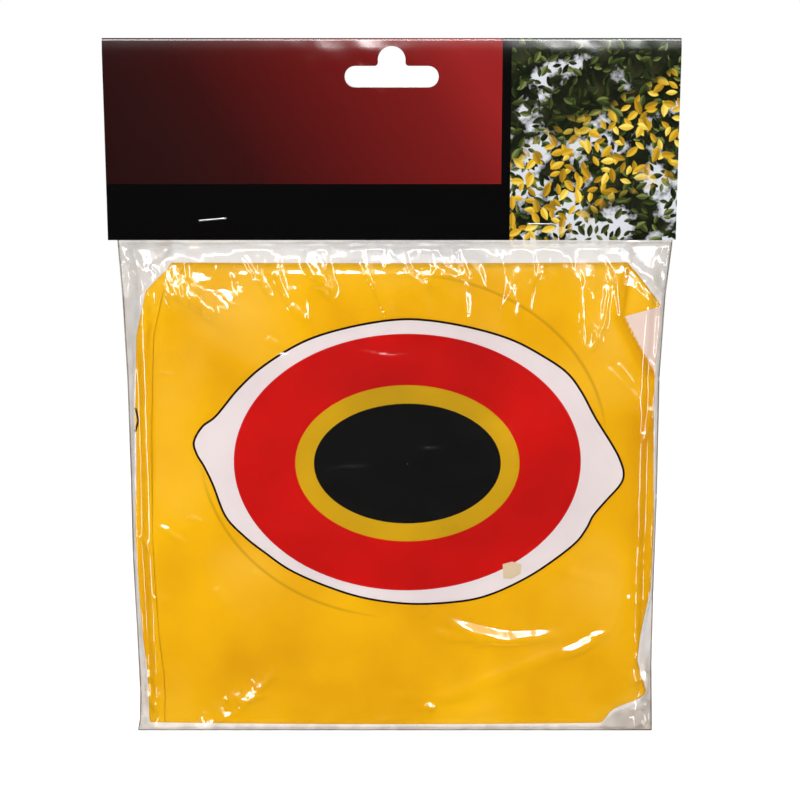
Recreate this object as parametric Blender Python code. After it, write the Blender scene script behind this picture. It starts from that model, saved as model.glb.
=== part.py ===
"""Bird scare balloon: a deflated six-gore vinyl ball, folded in thirds into a clear film bag.

The bag hangs from a folded header card that two staples close over its neck. The front gore
carries the printed scare eye. The tail of the fold brings the inflation valve to the back of
the pack, and the hanging tab lies between the folds.

Metres, +Z up. The front of the pack faces -Y. The origin is the top of the hang slot's hump,
where a peg bears, in the middle plane of the card.
"""

import math

import bmesh
import bpy
from mathutils import Matrix, Vector

MM = 0.001
INCH = 25.4 * MM

# The bag and the ball hang a little to the right of the card's middle
PACK_X = 1.5 * MM

# Fits between pieces
SHEET_GAP = 0.3 * MM
CUT_OVERRUN = 2.0 * MM
SHARP_ANGLE = math.radians(31.0)

# Header card, one sheet folded over the neck of the bag; its width comes to 10 inches
CARD_SIDE_MARGIN = 2.5 * MM
CARD_DROP = 3.5 * INCH
CARD_SHEET = 0.4 * MM
CARD_FOLD_STEPS = 8

# Hang slot: a long slot with a round hump in its top edge
HUMP_TOP_DEPTH = 3.4 * MM
HUMP_RADIUS = 6.1 * MM
SLOT_TOP_DEPTH = 12.0 * MM
SLOT_HEIGHT = 9.4 * MM
SLOT_LENGTH = 41.5 * MM
SLOT_FILLET = 1.5 * MM
SLOT_ARC_STEPS = 8

# Staples: height above the card's foot, place across the card and tilt
STAPLE_CROWN = 12.7 * MM
STAPLE_WIRE_WIDTH = 0.7 * MM
STAPLE_WIRE_DEPTH = 0.5 * MM
STAPLE_BEND = 0.8 * MM
STAPLE_CLINCH = 4.6 * MM
STAPLE_BEND_STEPS = 3
LEFT_STAPLE_X = -80.0 * MM
LEFT_STAPLE_RISE = 9.3 * MM
LEFT_STAPLE_TILT = math.radians(5.0)
RIGHT_STAPLE_X = 66.7 * MM
RIGHT_STAPLE_RISE = 7.3 * MM
RIGHT_STAPLE_TILT = math.radians(-1.0)

# Film bag
FILM = 0.2 * MM
NECK_SIDE_EASE = 5.0 * MM
MOUTH_DEPTH = 25.0 * MM
POUCH_HEIGHT = 233.0 * MM
FOOT_MARGIN = 2.0 * MM
SIDE_EASE = 1.9 * MM
SIDE_WELD = 0.7 * MM
BOTTOM_WELD = 1.6 * MM
FILM_EASE = 0.4 * MM
FILM_FALL_TOP_SHARE = 1.0
FILM_FALL_FOOT_SHARE = 2.2
DRAW_IN_SHARE = 0.8
VALVE_TENT_REACH = 24.0 * MM
VALVE_TENT_FALL_SHARE = 0.3
TENT_STEPS = 6
COLUMN_SHARES = (0.0, 0.22, 0.44, 0.66, 0.84, 0.95, 1.0)
RIM_SHARES = (0.4, 1.0)
RIM_HEIGHT_SHARES = (0.75, 0.0)
HEAD_ROW_SHARES = (0.0, 0.45, 0.9, 1.0)
MAIN_ROW_SHARES = (0.0, 0.25, 0.5, 0.75, 1.0)
FOLD_ROW_ANGLES = tuple(math.radians(angle) for angle in (20.0, 40.0, 62.0, 90.0))

# Vinyl ball, folded flat
GORES = 6
VINYL = 0.3 * MM
LAYER_GAP = 0.35 * MM
BUNDLE_WIDTH = 239.0 * MM
BUNDLE_DROP = 10.1 * MM
BUNDLE_HEIGHT = 219.0 * MM
FRONT_AIR = 1.5 * MM
REAR_AIR = 6.0 * MM
BALANCE_SHIFT = 2.0 * MM
HEM = 9.5 * MM
HEM_MOST_SHARE = 0.45
HEM_CLEARANCE = 0.5 * MM
SEAM_GAP = 0.3 * MM
GORE_FULLNESS_SHARE = 1.5
ACROSS_SHARES = (-1.0, -0.67, -0.34, 0.0, 0.34, 0.67, 1.0)
TAIL_STEPS = 4
FRONT_STEPS = 7
TOP_FOLD_STEPS = 4
FOOT_FOLD_STEPS = 5
HEM_BEND_STEPS = 3
WRAP_BEND_STEPS = 4

# Pole patches: round sheets that close the tips of the gores
PATCH_RADIUS = 13.0 * MM
VALVE_POLE_DROP = 15.0 * MM
HANGER_POLE_RISE = 23.0 * MM
TIP_CUT = 11.0 * MM
ROUND_STEPS = 24

# Inflation valve, moulded in soft vinyl
FLANGE_RADIUS = 10.0 * MM
FLANGE_SHEET = 0.8 * MM
FLANGE_RIB_HEIGHT = 0.5 * MM
FLANGE_RIB_WIDTH = 1.0 * MM
STEM_RADIUS = 4.5 * MM
STEM_BORE = 2.9 * MM
STEM_LENGTH = 8.0 * MM
STEM_LIP_RADIUS = 6.2 * MM
STEM_LIP = 0.8 * MM
STEM_BEAD_RADIUS = 5.3 * MM
STEM_BEAD = 0.8 * MM
EAR_WIDTH = 3.6 * MM
HINGE_REACH = 8.5 * MM
PLUG_HEAD_RADIUS = 4.2 * MM
PLUG_HEAD = 0.9 * MM
PLUG_TOP_RADIUS = 2.6 * MM
PLUG_TIP_RADIUS = 1.9 * MM
PLUG_LENGTH = 3.0 * MM
STRAP_WIDTH = 3.0 * MM
STRAP_SHEET = 0.5 * MM
HINGE_END_GAP = 0.2 * MM
FLAP_RADIUS = 3.3 * MM
FLAP_SHEET = 0.5 * MM
FLAP_TAB_WIDTH = 2.6 * MM
FLAP_REACH = 4.2 * MM

# Hanging tab on the other pole
TAB_SHEET = 0.8 * MM
TAB_RADIUS = 6.5 * MM
TAB_LENGTH = 16.0 * MM
EYELET_RADIUS = 2.6 * MM
EYELET_RIM = 1.1 * MM

# Scare eye, printed on the front gore
EYE_X = 7.0 * MM
EYE_DEPTH = 191.6 * MM
PUPIL_WIDTH = 85.0 * MM
PUPIL_HEIGHT = 56.0 * MM
RING_BAND = 8.5 * MM
RED_SIDE_BAND = 28.0 * MM
RED_LID_BAND = 23.5 * MM
WHITE_CORNER_BAND = 19.5 * MM
WHITE_LID_BAND = 7.0 * MM
OUTLINE_WIDTH = 1.1 * MM
INK = 0.2 * MM
INK_GAP = 0.35 * MM
PRINT_GAP = 0.3 * MM
EYE_STEPS = 56

# Lid outline, counter-clockwise from the right corner, in shares of half the eye's width and height
LID_SHARES = (
    (1.008, -0.074), (0.985, 0.035), (0.947, 0.137), (0.869, 0.320), (0.804, 0.496),
    (0.735, 0.630), (0.631, 0.739), (0.481, 0.858), (0.299, 0.940), (0.107, 0.992),
    (-0.060, 0.998), (-0.276, 0.943), (-0.472, 0.849), (-0.654, 0.687), (-0.776, 0.525),
    (-0.883, 0.335), (-0.949, 0.257), (-0.990, 0.150), (-0.979, 0.060), (-0.944, -0.032),
    (-0.905, -0.160), (-0.850, -0.377), (-0.762, -0.521), (-0.671, -0.630), (-0.547, -0.760),
    (-0.364, -0.882), (-0.187, -0.962), (0.030, -1.000), (0.252, -0.982), (0.393, -0.933),
    (0.537, -0.835), (0.659, -0.722), (0.785, -0.574), (0.841, -0.461), (0.869, -0.377),
    (0.928, -0.271), (0.992, -0.160),
)

# Colours, linear RGB, and finishes
CARD_RED = (0.18, 0.012, 0.014)
STEEL = (0.55, 0.55, 0.56)
CLEAR = (0.86, 0.88, 0.88)
YELLOW = (0.86, 0.42, 0.003)
WHITE = (0.86, 0.80, 0.79)
RED = (0.63, 0.006, 0.004)
RING_YELLOW = (0.66, 0.36, 0.006)
BLACK = (0.008, 0.008, 0.008)

# Sizes that follow from the ones above
FOLD_Z = HUMP_TOP_DEPTH
NECK_HALF_GAP = SHEET_GAP / 2.0
NECK_HALF = NECK_HALF_GAP + FILM
CARD_INNER_HALF = NECK_HALF + SHEET_GAP
CARD_OUTER_HALF = CARD_INNER_HALF + CARD_SHEET
CARD_FOOT_Z = FOLD_Z - CARD_DROP
POUCH_TOP_Z = CARD_FOOT_Z - SHEET_GAP / 2.0
POUCH_FOOT_Z = CARD_FOOT_Z - POUCH_HEIGHT
NECK_WIDTH = BUNDLE_WIDTH + 2.0 * NECK_SIDE_EASE
CARD_WIDTH = NECK_WIDTH + 2.0 * CARD_SIDE_MARGIN

PITCH = VINYL + LAYER_GAP
FRONT_LAYERS = 2 * GORES - 1
ALL_LAYERS = 3 * GORES - 1
BUNDLE_HALF = BUNDLE_WIDTH / 2.0
BUNDLE_DEPTH = ALL_LAYERS * PITCH + FRONT_AIR + REAR_AIR
BUNDLE_FRONT_Y = BALANCE_SHIFT - BUNDLE_DEPTH / 2.0
BUNDLE_TOP_Z = CARD_FOOT_Z - BUNDLE_DROP
BUNDLE_FOOT_Z = BUNDLE_TOP_Z - BUNDLE_HEIGHT
TOP_FOLD_RADIUS = (FRONT_LAYERS * PITCH + FRONT_AIR) / 2.0
FOOT_FOLD_RADIUS = BUNDLE_DEPTH / 2.0
TOP_FOLD_Z = BUNDLE_TOP_Z - TOP_FOLD_RADIUS - VINYL / 2.0
FOOT_FOLD_Z = BUNDLE_FOOT_Z + FOOT_FOLD_RADIUS + VINYL / 2.0
VALVE_Z = BUNDLE_TOP_Z - VALVE_POLE_DROP
HANGER_Z = BUNDLE_FOOT_Z + HANGER_POLE_RISE
HEAD_TAIL = TOP_FOLD_Z - HANGER_Z
FOOT_TAIL = VALVE_Z - FOOT_FOLD_Z
FRONT_RUN = TOP_FOLD_Z - FOOT_FOLD_Z
MERIDIAN = HEAD_TAIL + FOOT_TAIL + FRONT_RUN + math.pi * (TOP_FOLD_RADIUS + FOOT_FOLD_RADIUS)
WIDEST_Z = TOP_FOLD_Z - (MERIDIAN / 2.0 - HEAD_TAIL - math.pi * TOP_FOLD_RADIUS)
BALL_DIAMETER = 2.0 * MERIDIAN / math.pi

EYE_Z = FOLD_Z - EYE_DEPTH
RING_WIDTH = PUPIL_WIDTH + 2.0 * RING_BAND
RING_HEIGHT = PUPIL_HEIGHT + 2.0 * RING_BAND
RED_WIDTH = RING_WIDTH + 2.0 * RED_SIDE_BAND
RED_HEIGHT = RING_HEIGHT + 2.0 * RED_LID_BAND
EYE_WIDTH = RED_WIDTH + 2.0 * WHITE_CORNER_BAND
EYE_HEIGHT = RED_HEIGHT + 2.0 * WHITE_LID_BAND
INK_LEVEL = -(VINYL / 2.0 + INK_GAP) / PITCH
INK_FACE_LEVEL = INK_LEVEL - INK / PITCH

PATCH_FACE_LEVEL = -1.0 - VINYL / 2.0 / PITCH
PATCH_FACE_Y = BUNDLE_FRONT_Y + BUNDLE_DEPTH + PITCH + VINYL / 2.0
FLANGE_FACE_Y = PATCH_FACE_Y + SHEET_GAP + FLANGE_SHEET
LIP_FACE_Y = FLANGE_FACE_Y + SHEET_GAP + STEM_LIP
STEM_END_Y = LIP_FACE_Y - STEM_LENGTH
HEAD_FOOT_Y = LIP_FACE_Y + SHEET_GAP
HINGE_X = PACK_X + HINGE_REACH
HINGE_Y = HEAD_FOOT_Y + STRAP_SHEET / 2.0
FLAP_FACE_Y = STEM_END_Y - SHEET_GAP
FLAP_HINGE_X = PACK_X - FLAP_REACH
FLAP_HINGE_Y = FLAP_FACE_Y - FLAP_SHEET / 2.0
VALVE_DISCS = (
    (PATCH_RADIUS, PATCH_FACE_Y),
    (FLANGE_RADIUS, FLANGE_FACE_Y + FLANGE_RIB_HEIGHT),
    (HINGE_REACH, HEAD_FOOT_Y + STRAP_SHEET),
    (PLUG_HEAD_RADIUS, HEAD_FOOT_Y + PLUG_HEAD),
)


def clear_scene():
    """Remove every object that the scene holds."""
    for old in list(bpy.data.objects):
        bpy.data.objects.remove(old, do_unlink=True)


def material(name, colour, roughness, metallic=0.0, alpha=1.0):
    """Make a Principled material of one colour."""
    mat = bpy.data.materials.new(name)
    mat.use_nodes = True
    mat.diffuse_color = (*colour, alpha)
    shader = mat.node_tree.nodes["Principled BSDF"]
    shader.inputs["Base Color"].default_value = (*colour, 1.0)
    shader.inputs["Roughness"].default_value = roughness
    shader.inputs["Metallic"].default_value = metallic
    shader.inputs["Alpha"].default_value = alpha
    return mat


def mesh_object(name, points, faces, mat):
    """Make one object from points in world space and faces that name them."""
    mesh = bpy.data.meshes.new(name)
    mesh.from_pydata([tuple(p) for p in points], [], faces)
    mesh.update()
    obj = bpy.data.objects.new(name, mesh)
    bpy.context.scene.collection.objects.link(obj)
    work = bmesh.new()
    work.from_mesh(mesh)
    bmesh.ops.recalc_face_normals(work, faces=work.faces)
    work.to_mesh(mesh)
    work.free()
    mesh.shade_smooth()
    mesh.set_sharp_from_angle(angle=SHARP_ANGLE)
    mesh.materials.append(mat)
    return obj


def place_origin(obj, place):
    """Move an object's origin to a place, with its mesh left where it is."""
    obj.data.transform(Matrix.Translation(-Vector(place)))
    obj.location = place


def hold(obj, parent):
    """Parent an object and keep it where it stands."""
    bpy.context.view_layer.update()
    obj.parent = parent
    obj.matrix_parent_inverse = parent.matrix_world.inverted()


def empty(name, place, parent=None):
    """Make an empty that carries one moving body."""
    carrier = bpy.data.objects.new(name, None)
    carrier.empty_display_size = PATCH_RADIUS
    bpy.context.scene.collection.objects.link(carrier)
    carrier.location = place
    if parent:
        hold(carrier, parent)
    return carrier


def loft(rings, closed=False):
    """Join rings of equal length into one skin, capped at its ends or joined end to start."""
    count = len(rings[0])
    points = [p for ring in rings for p in ring]
    faces = []
    spans = len(rings) if closed else len(rings) - 1
    for i in range(spans):
        here = i * count
        there = (i + 1) % len(rings) * count
        for j in range(count):
            k = (j + 1) % count
            faces.append((here + j, here + k, there + k, there + j))
    if not closed:
        faces.append(tuple(range(count)))
        faces.append(tuple(range(len(points) - count, len(points))))
    return points, faces


def prism(name, outline, low_y, high_y, mat):
    """Extrude an outline in the XZ plane between two depths."""
    rings = [[(x, y, z) for x, z in outline] for y in (low_y, high_y)]
    points, faces = loft(rings)
    return mesh_object(name, points, faces, mat)


def arc(centre, radius, start, end, steps):
    """Points on an arc between two angles in degrees, both ends included."""
    points = []
    for i in range(steps + 1):
        angle = math.radians(start + (end - start) * i / steps)
        points.append((centre[0] + radius * math.cos(angle), centre[1] + radius * math.sin(angle)))
    return points


def turned(name, profile, centre_x, centre_z, mat, hollow):
    """Turn a profile of radius and depth pairs about a line along Y."""
    rings = []
    for radius, y in profile:
        ring = []
        for i in range(ROUND_STEPS):
            angle = math.tau * i / ROUND_STEPS
            ring.append((centre_x + radius * math.cos(angle), y, centre_z + radius * math.sin(angle)))
        rings.append(ring)
    points, faces = loft(rings, closed=hollow)
    return mesh_object(name, points, faces, mat)


def combine(obj, other, operation):
    """Apply a Boolean of one object to another and remove the tool."""
    other.hide_render = True
    other.display_type = "WIRE"
    cut = obj.modifiers.new("Boolean", "BOOLEAN")
    cut.operation = operation
    cut.solver = "EXACT"
    cut.object = other
    graph = bpy.context.evaluated_depsgraph_get()
    mesh = bpy.data.meshes.new_from_object(obj.evaluated_get(graph))
    obj.modifiers.remove(cut)
    obj.data = mesh
    mesh.shade_smooth()
    mesh.set_sharp_from_angle(angle=SHARP_ANGLE)
    bpy.data.objects.remove(other, do_unlink=True)


def slot_outline():
    """Hang slot outline in XZ: a slot with round ends, and a hump blended in by two fillets."""
    end_radius = SLOT_HEIGHT / 2.0
    middle_z = FOLD_Z - SLOT_TOP_DEPTH - end_radius
    top_z = middle_z + end_radius
    end_x = SLOT_LENGTH / 2.0 - end_radius
    hump_z = FOLD_Z - HUMP_TOP_DEPTH - HUMP_RADIUS
    fillet_z = top_z + SLOT_FILLET
    fillet_x = math.sqrt((HUMP_RADIUS + SLOT_FILLET) ** 2 - (fillet_z - hump_z) ** 2)
    meet = math.degrees(math.atan2(fillet_z - hump_z, fillet_x))
    outline = arc((-end_x, middle_z), end_radius, 90.0, 270.0, SLOT_ARC_STEPS)
    outline += arc((end_x, middle_z), end_radius, -90.0, 90.0, SLOT_ARC_STEPS)
    outline += arc((fillet_x, fillet_z), SLOT_FILLET, 270.0, 180.0 + meet, SLOT_ARC_STEPS // 2)
    outline += arc((0.0, hump_z), HUMP_RADIUS, meet, 180.0 - meet, 2 * SLOT_ARC_STEPS)[1:-1]
    outline += arc((-fillet_x, fillet_z), SLOT_FILLET, -meet, -90.0, SLOT_ARC_STEPS // 2)
    return outline


def staple_frame(x, rise, tilt):
    """Matrix of a staple: X along its crown, Y into the card, origin at the crown's middle."""
    return Matrix.Translation((x, 0.0, CARD_FOOT_Z + rise)) @ Matrix.Rotation(-tilt, 4, "Y")


def staple_places():
    """Name and matrix of each staple."""
    left = staple_frame(LEFT_STAPLE_X, LEFT_STAPLE_RISE, LEFT_STAPLE_TILT)
    right = staple_frame(RIGHT_STAPLE_X, RIGHT_STAPLE_RISE, RIGHT_STAPLE_TILT)
    return (("staple_left", left), ("staple_right", right))


def cut_staple_holes(obj):
    """Cut the four square holes that the staples' legs pass through."""
    half_x = STAPLE_WIRE_DEPTH / 2.0 + SHEET_GAP
    half_z = STAPLE_WIRE_WIDTH / 2.0 + SHEET_GAP
    leg_x = STAPLE_CROWN / 2.0 - STAPLE_WIRE_DEPTH / 2.0
    reach = CARD_OUTER_HALF + CUT_OVERRUN
    for _, frame in staple_places():
        for side in (-leg_x, leg_x):
            outline = [(side - half_x, -half_z), (side + half_x, -half_z),
                       (side + half_x, half_z), (side - half_x, half_z)]
            cutter = prism("leg_cutter", outline, -reach, reach, obj.data.materials[0])
            cutter.data.transform(frame)
            combine(obj, cutter, "DIFFERENCE")


def header_card(mat):
    """Header card: a folded sheet, both panels pierced by the hang slot and the staples."""
    outer = arc((0.0, FOLD_Z - CARD_OUTER_HALF), CARD_OUTER_HALF, 180.0, 0.0, CARD_FOLD_STEPS)
    inner = arc((0.0, FOLD_Z - CARD_OUTER_HALF), CARD_INNER_HALF, 0.0, 180.0, CARD_FOLD_STEPS)
    outline = [(-CARD_OUTER_HALF, CARD_FOOT_Z)] + outer + [(CARD_OUTER_HALF, CARD_FOOT_Z)]
    outline += [(CARD_INNER_HALF, CARD_FOOT_Z)] + inner + [(-CARD_INNER_HALF, CARD_FOOT_Z)]
    half = CARD_WIDTH / 2.0
    points, faces = loft([[(x, y, z) for y, z in outline] for x in (-half, half)])
    card = mesh_object("header_card", points, faces, mat)
    reach = CARD_OUTER_HALF + CUT_OVERRUN
    cutter = prism("slot_cutter", slot_outline(), -reach, reach, mat)
    combine(card, cutter, "DIFFERENCE")
    cut_staple_holes(card)
    return card


def staple_path():
    """Middle line of the wire in the staple's own XY plane, from one clinched end to the other."""
    front = -CARD_OUTER_HALF - SHEET_GAP - STAPLE_WIRE_DEPTH / 2.0
    back = -front
    leg = STAPLE_CROWN / 2.0 - STAPLE_WIRE_DEPTH / 2.0
    bend = STAPLE_BEND
    right = [(leg - STAPLE_CLINCH, back)]
    right += arc((leg - bend, back - bend), bend, 90.0, 0.0, STAPLE_BEND_STEPS)
    right += arc((leg - bend, front + bend), bend, 0.0, -90.0, STAPLE_BEND_STEPS)
    left = [(-x, y) for x, y in reversed(right)]
    return right + left


def staple(name, frame, mat):
    """One staple of flat wire, swept along its path with a square section."""
    path = staple_path()
    half_z = STAPLE_WIRE_WIDTH / 2.0
    half_t = STAPLE_WIRE_DEPTH / 2.0
    rings = []
    for i, (x, y) in enumerate(path):
        before = path[max(i - 1, 0)]
        after = path[min(i + 1, len(path) - 1)]
        along = Vector((after[0] - before[0], after[1] - before[1])).normalized()
        across = Vector((-along.y, along.x)) * half_t
        ring = []
        for side, height in ((-1, -half_z), (1, -half_z), (1, half_z), (-1, half_z)):
            ring.append(frame @ Vector((x + side * across.x, y + side * across.y, height)))
        rings.append(ring)
    points, faces = loft(rings)
    return mesh_object(name, points, faces, mat)


def bag_neck(mat):
    """Neck of the bag: a flat film tube, open at both ends, held between the card's panels."""
    top = FOLD_Z - MOUTH_DEPTH
    foot = CARD_FOOT_Z + SHEET_GAP / 2.0
    outer = (NECK_WIDTH / 2.0, NECK_HALF)
    inner = (NECK_WIDTH / 2.0 - SIDE_WELD, NECK_HALF_GAP)
    rings = []
    for (half_x, half_y), z in ((outer, top), (outer, foot), (inner, foot), (inner, top)):
        corners = ((-half_x, -half_y), (half_x, -half_y), (half_x, half_y), (-half_x, half_y))
        rings.append([(PACK_X + x, y, z) for x, y in corners])
    points, faces = loft(rings, closed=True)
    neck = mesh_object("bag_neck", points, faces, mat)
    cut_staple_holes(neck)
    return neck


def bow(x):
    """How full the folded stack stands at a place across it: 1 in the middle, 0 at its edges."""
    across = (x - PACK_X) / BUNDLE_HALF
    return max(0.0, 1.0 - across * across)


def run_depth(run, level, x):
    """Depth of one level on a straight run of the fold; level 0 is the outermost sheet."""
    full = bow(x)
    front = BUNDLE_FRONT_Y + (FRONT_AIR + REAR_AIR) / 2.0 * (1.0 - full)
    if run == "front":
        return front + level * PITCH
    if run == "head_tail":
        return front + (FRONT_LAYERS - level) * PITCH + FRONT_AIR * full
    return front + (ALL_LAYERS - level) * PITCH + (FRONT_AIR + REAR_AIR) * full


def fold_point(station, level, x):
    """Point of a level at a station along the fold."""
    run, value = station
    if run == "top_fold":
        front = run_depth("front", level, x)
        back = run_depth("head_tail", level, x)
        radius = (back - front) / 2.0
        y = (front + back) / 2.0 + radius * math.cos(value)
        return (x, y, TOP_FOLD_Z + radius * math.sin(value))
    if run == "foot_fold":
        front = run_depth("front", level, x)
        back = run_depth("foot_tail", level, x)
        radius = (back - front) / 2.0
        y = (front + back) / 2.0 - radius * math.cos(value)
        return (x, y, FOOT_FOLD_Z - radius * math.sin(value))
    return (x, run_depth(run, level, x), value)


def fold_stations():
    """Stations along the gores: hanger tip, top fold, front, foot fold, valve tip."""
    stations = []
    start = HANGER_Z + TIP_CUT
    for i in range(TAIL_STEPS):
        stations.append(("head_tail", start + (TOP_FOLD_Z - start) * i / TAIL_STEPS))
    for i in range(TOP_FOLD_STEPS + 1):
        stations.append(("top_fold", math.pi * i / TOP_FOLD_STEPS))
    for i in range(1, FRONT_STEPS):
        stations.append(("front", TOP_FOLD_Z - FRONT_RUN * i / FRONT_STEPS))
    for i in range(FOOT_FOLD_STEPS + 1):
        stations.append(("foot_fold", math.pi * i / FOOT_FOLD_STEPS))
    end = VALVE_Z - TIP_CUT
    for i in range(1, TAIL_STEPS + 1):
        stations.append(("foot_tail", FOOT_FOLD_Z + (end - FOOT_FOLD_Z) * i / TAIL_STEPS))
    return stations


def from_equator(station):
    """Distance of a station from the widest line of the ball, along the outermost sheet."""
    run, value = station
    head = TOP_FOLD_Z - WIDEST_Z
    foot = WIDEST_Z - FOOT_FOLD_Z
    if run == "head_tail":
        return head + math.pi * TOP_FOLD_RADIUS + TOP_FOLD_Z - value
    if run == "top_fold":
        return head + (math.pi - value) * TOP_FOLD_RADIUS
    if run == "front":
        return abs(value - WIDEST_Z)
    if run == "foot_fold":
        return foot + value * FOOT_FOLD_RADIUS
    return foot + math.pi * FOOT_FOLD_RADIUS + value - FOOT_FOLD_Z


def half_width(station):
    """Half the folded width of a gore at a station, a full lens that ends at the poles."""
    latitude = math.pi * from_equator(station) / MERIDIAN
    lost = (1.0 - max(0.0, math.cos(latitude))) ** GORE_FULLNESS_SHARE
    return BUNDLE_HALF * (1.0 - lost)


def hem_bend(x, level, next_level, side, steps, grown):
    """Points round the bend of a hem, as pairs of place across and level."""
    radius = abs(next_level - level) * PITCH / 2.0
    middle = (level + next_level) / 2.0
    turn = 1.0 if next_level > level else -1.0
    centre = x - side * (radius + VINYL / 2.0)
    size = radius + grown
    points = []
    for i in range(steps + 1):
        angle = math.pi * (i / steps - 0.5)
        across = centre + side * size * math.cos(angle)
        points.append((across, middle + turn * size * math.sin(angle) / PITCH))
    return points


def gore_section(index, station):
    """Closed section of one gore at a station: pairs of place across and level.

    The gores join by turns at the left and the right. At each seam the inner gore turns
    back over its own edge, and at the last one the front gore wraps the whole stack.
    """
    width = half_width(station)
    hem = min(HEM, HEM_MOST_SHARE * width)
    inner_width = width - (GORES - 1) * PITCH / 2.0
    wraps = index == 0
    side = 1.0 if index % 2 == 0 else -1.0
    next_level = GORES - 1 if wraps else index - 1
    right_edge = width if index in (0, GORES - 1) else inner_width
    bend_edge, free_edge = (right_edge, width) if side > 0.0 else (width, right_edge)
    bend_x = side * bend_edge
    free_x = -side * (free_edge - hem - SEAM_GAP / 2.0)
    hem_x = bend_x - side * (hem - SEAM_GAP / 2.0)
    steps = WRAP_BEND_STEPS if wraps else HEM_BEND_STEPS
    half = VINYL / 2.0 / PITCH
    turn = 1.0 if next_level > index else -1.0
    reach = inner_width - hem - HEM_CLEARANCE
    main = [side * share * reach for share in ACROSS_SHARES]
    section = [(free_x, index - turn * half)] + [(x, index - turn * half) for x in main]
    section += hem_bend(bend_x, index, next_level, side, steps, VINYL / 2.0)
    section += [(hem_x, next_level + turn * half), (hem_x, next_level - turn * half)]
    section += reversed(hem_bend(bend_x, index, next_level, side, steps, -VINYL / 2.0))
    section += [(x, index + turn * half) for x in reversed(main)] + [(free_x, index + turn * half)]
    return [(PACK_X + x, level) for x, level in section]


def gore(index, mat):
    """One gore panel of the ball, as it lies folded in the stack."""
    rings = []
    for station in fold_stations():
        section = gore_section(index, station)
        rings.append([fold_point(station, level, x) for x, level in section])
    points, faces = loft(rings)
    return mesh_object(f"gore_{index + 1}", points, faces, mat)


def smooth_loop(shares, half_x, half_z, steps):
    """Closed smooth curve through points given as shares, read at equal steps of its parameter."""
    count = len(shares)
    loop = []
    for i in range(steps):
        place = i * count / steps
        base = int(place)
        t = place - base
        p0, p1, p2, p3 = (Vector(shares[(base + k) % count]) for k in (-1, 0, 1, 2))
        spot = 2.0 * p1 + (p2 - p0) * t + (2.0 * p0 - 5.0 * p1 + 4.0 * p2 - p3) * t ** 2
        spot = (spot + (3.0 * p1 - p0 - 3.0 * p2 + p3) * t ** 3) / 2.0
        loop.append(Vector((spot.x * half_x, spot.y * half_z)))
    return loop


def inset_loop(loop, depth):
    """Move a loop inward by a distance along its own normals."""
    moved = []
    for i, spot in enumerate(loop):
        along = loop[(i + 1) % len(loop)] - loop[i - 1]
        inward = Vector((-along.y, along.x)).normalized()
        moved.append(spot + inward * depth)
    return moved


def ellipse_loop(width, height, rays):
    """Ellipse read in the directions of the given rays."""
    loop = []
    for ray in rays:
        way = ray.normalized()
        size = 1.0 / math.sqrt((2.0 * way.x / width) ** 2 + (2.0 * way.y / height) ** 2)
        loop.append(way * size)
    return loop


def on_gore(spot, level):
    """Place a point of the print on a level of the front gore."""
    x = EYE_X + spot.x
    return (x, run_depth("front", level, x), EYE_Z + spot.y)


def print_ring(name, loops, mat):
    """One printed colour between its outermost and innermost loops, following the gore."""
    rings = [[on_gore(spot, INK_FACE_LEVEL) for spot in loop] for loop in loops]
    rings += [[on_gore(spot, INK_LEVEL) for spot in loop] for loop in reversed(loops)]
    points, faces = loft(rings, closed=True)
    return mesh_object(name, points, faces, mat)


def print_disc(name, loops, mat):
    """The pupil: nested loops that end in a centre point on each face."""
    count = len(loops[0])
    rings = [[on_gore(spot, INK_FACE_LEVEL) for spot in loop] for loop in reversed(loops)]
    rings += [[on_gore(spot, INK_LEVEL) for spot in loop] for loop in loops]
    points, faces = loft(rings)
    faces = faces[:-2]
    for start, level in ((0, INK_FACE_LEVEL), (len(points) - count, INK_LEVEL)):
        centre = len(points)
        points.append(on_gore(Vector((0.0, 0.0)), level))
        for i in range(count):
            faces.append((start + i, start + (i + 1) % count, centre))
    return mesh_object(name, points, faces, mat)


def between(outer, inner, shares):
    """Loops between two loops, at shares of the way from the outer to the inner one."""
    return [[a.lerp(b, share) for a, b in zip(outer, inner)] for share in shares]


def scare_eye(mats):
    """The scare eye: outline, white, red, ring and pupil, laid side by side."""
    lid = smooth_loop(LID_SHARES, EYE_WIDTH / 2.0, EYE_HEIGHT / 2.0, EYE_STEPS)
    ink_edge = inset_loop(lid, OUTLINE_WIDTH)
    white_edge = inset_loop(lid, OUTLINE_WIDTH + PRINT_GAP)
    gap = 2.0 * PRINT_GAP
    red_out = ellipse_loop(RED_WIDTH, RED_HEIGHT, lid)
    white_in = ellipse_loop(RED_WIDTH + gap, RED_HEIGHT + gap, lid)
    ring_out = ellipse_loop(RING_WIDTH, RING_HEIGHT, lid)
    red_in = ellipse_loop(RING_WIDTH + gap, RING_HEIGHT + gap, lid)
    pupil_out = ellipse_loop(PUPIL_WIDTH, PUPIL_HEIGHT, lid)
    ring_in = ellipse_loop(PUPIL_WIDTH + gap, PUPIL_HEIGHT + gap, lid)
    centre = [Vector((0.0, 0.0)) for _ in lid]
    halves = (0.0, 0.5, 1.0)
    ends = (0.0, 1.0)
    thirds = (0.0, 1.0 / 3.0, 2.0 / 3.0)
    return [
        print_ring("eye_outline_ink", between(lid, ink_edge, ends), mats["black"]),
        print_ring("eye_white_ink", between(white_edge, white_in, ends), mats["white"]),
        print_ring("eye_red_ink", between(red_out, red_in, halves), mats["red"]),
        print_ring("eye_ring_ink", between(ring_out, ring_in, ends), mats["ring"]),
        print_disc("eye_pupil_ink", between(pupil_out, centre, thirds), mats["black"]),
    ]


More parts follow.
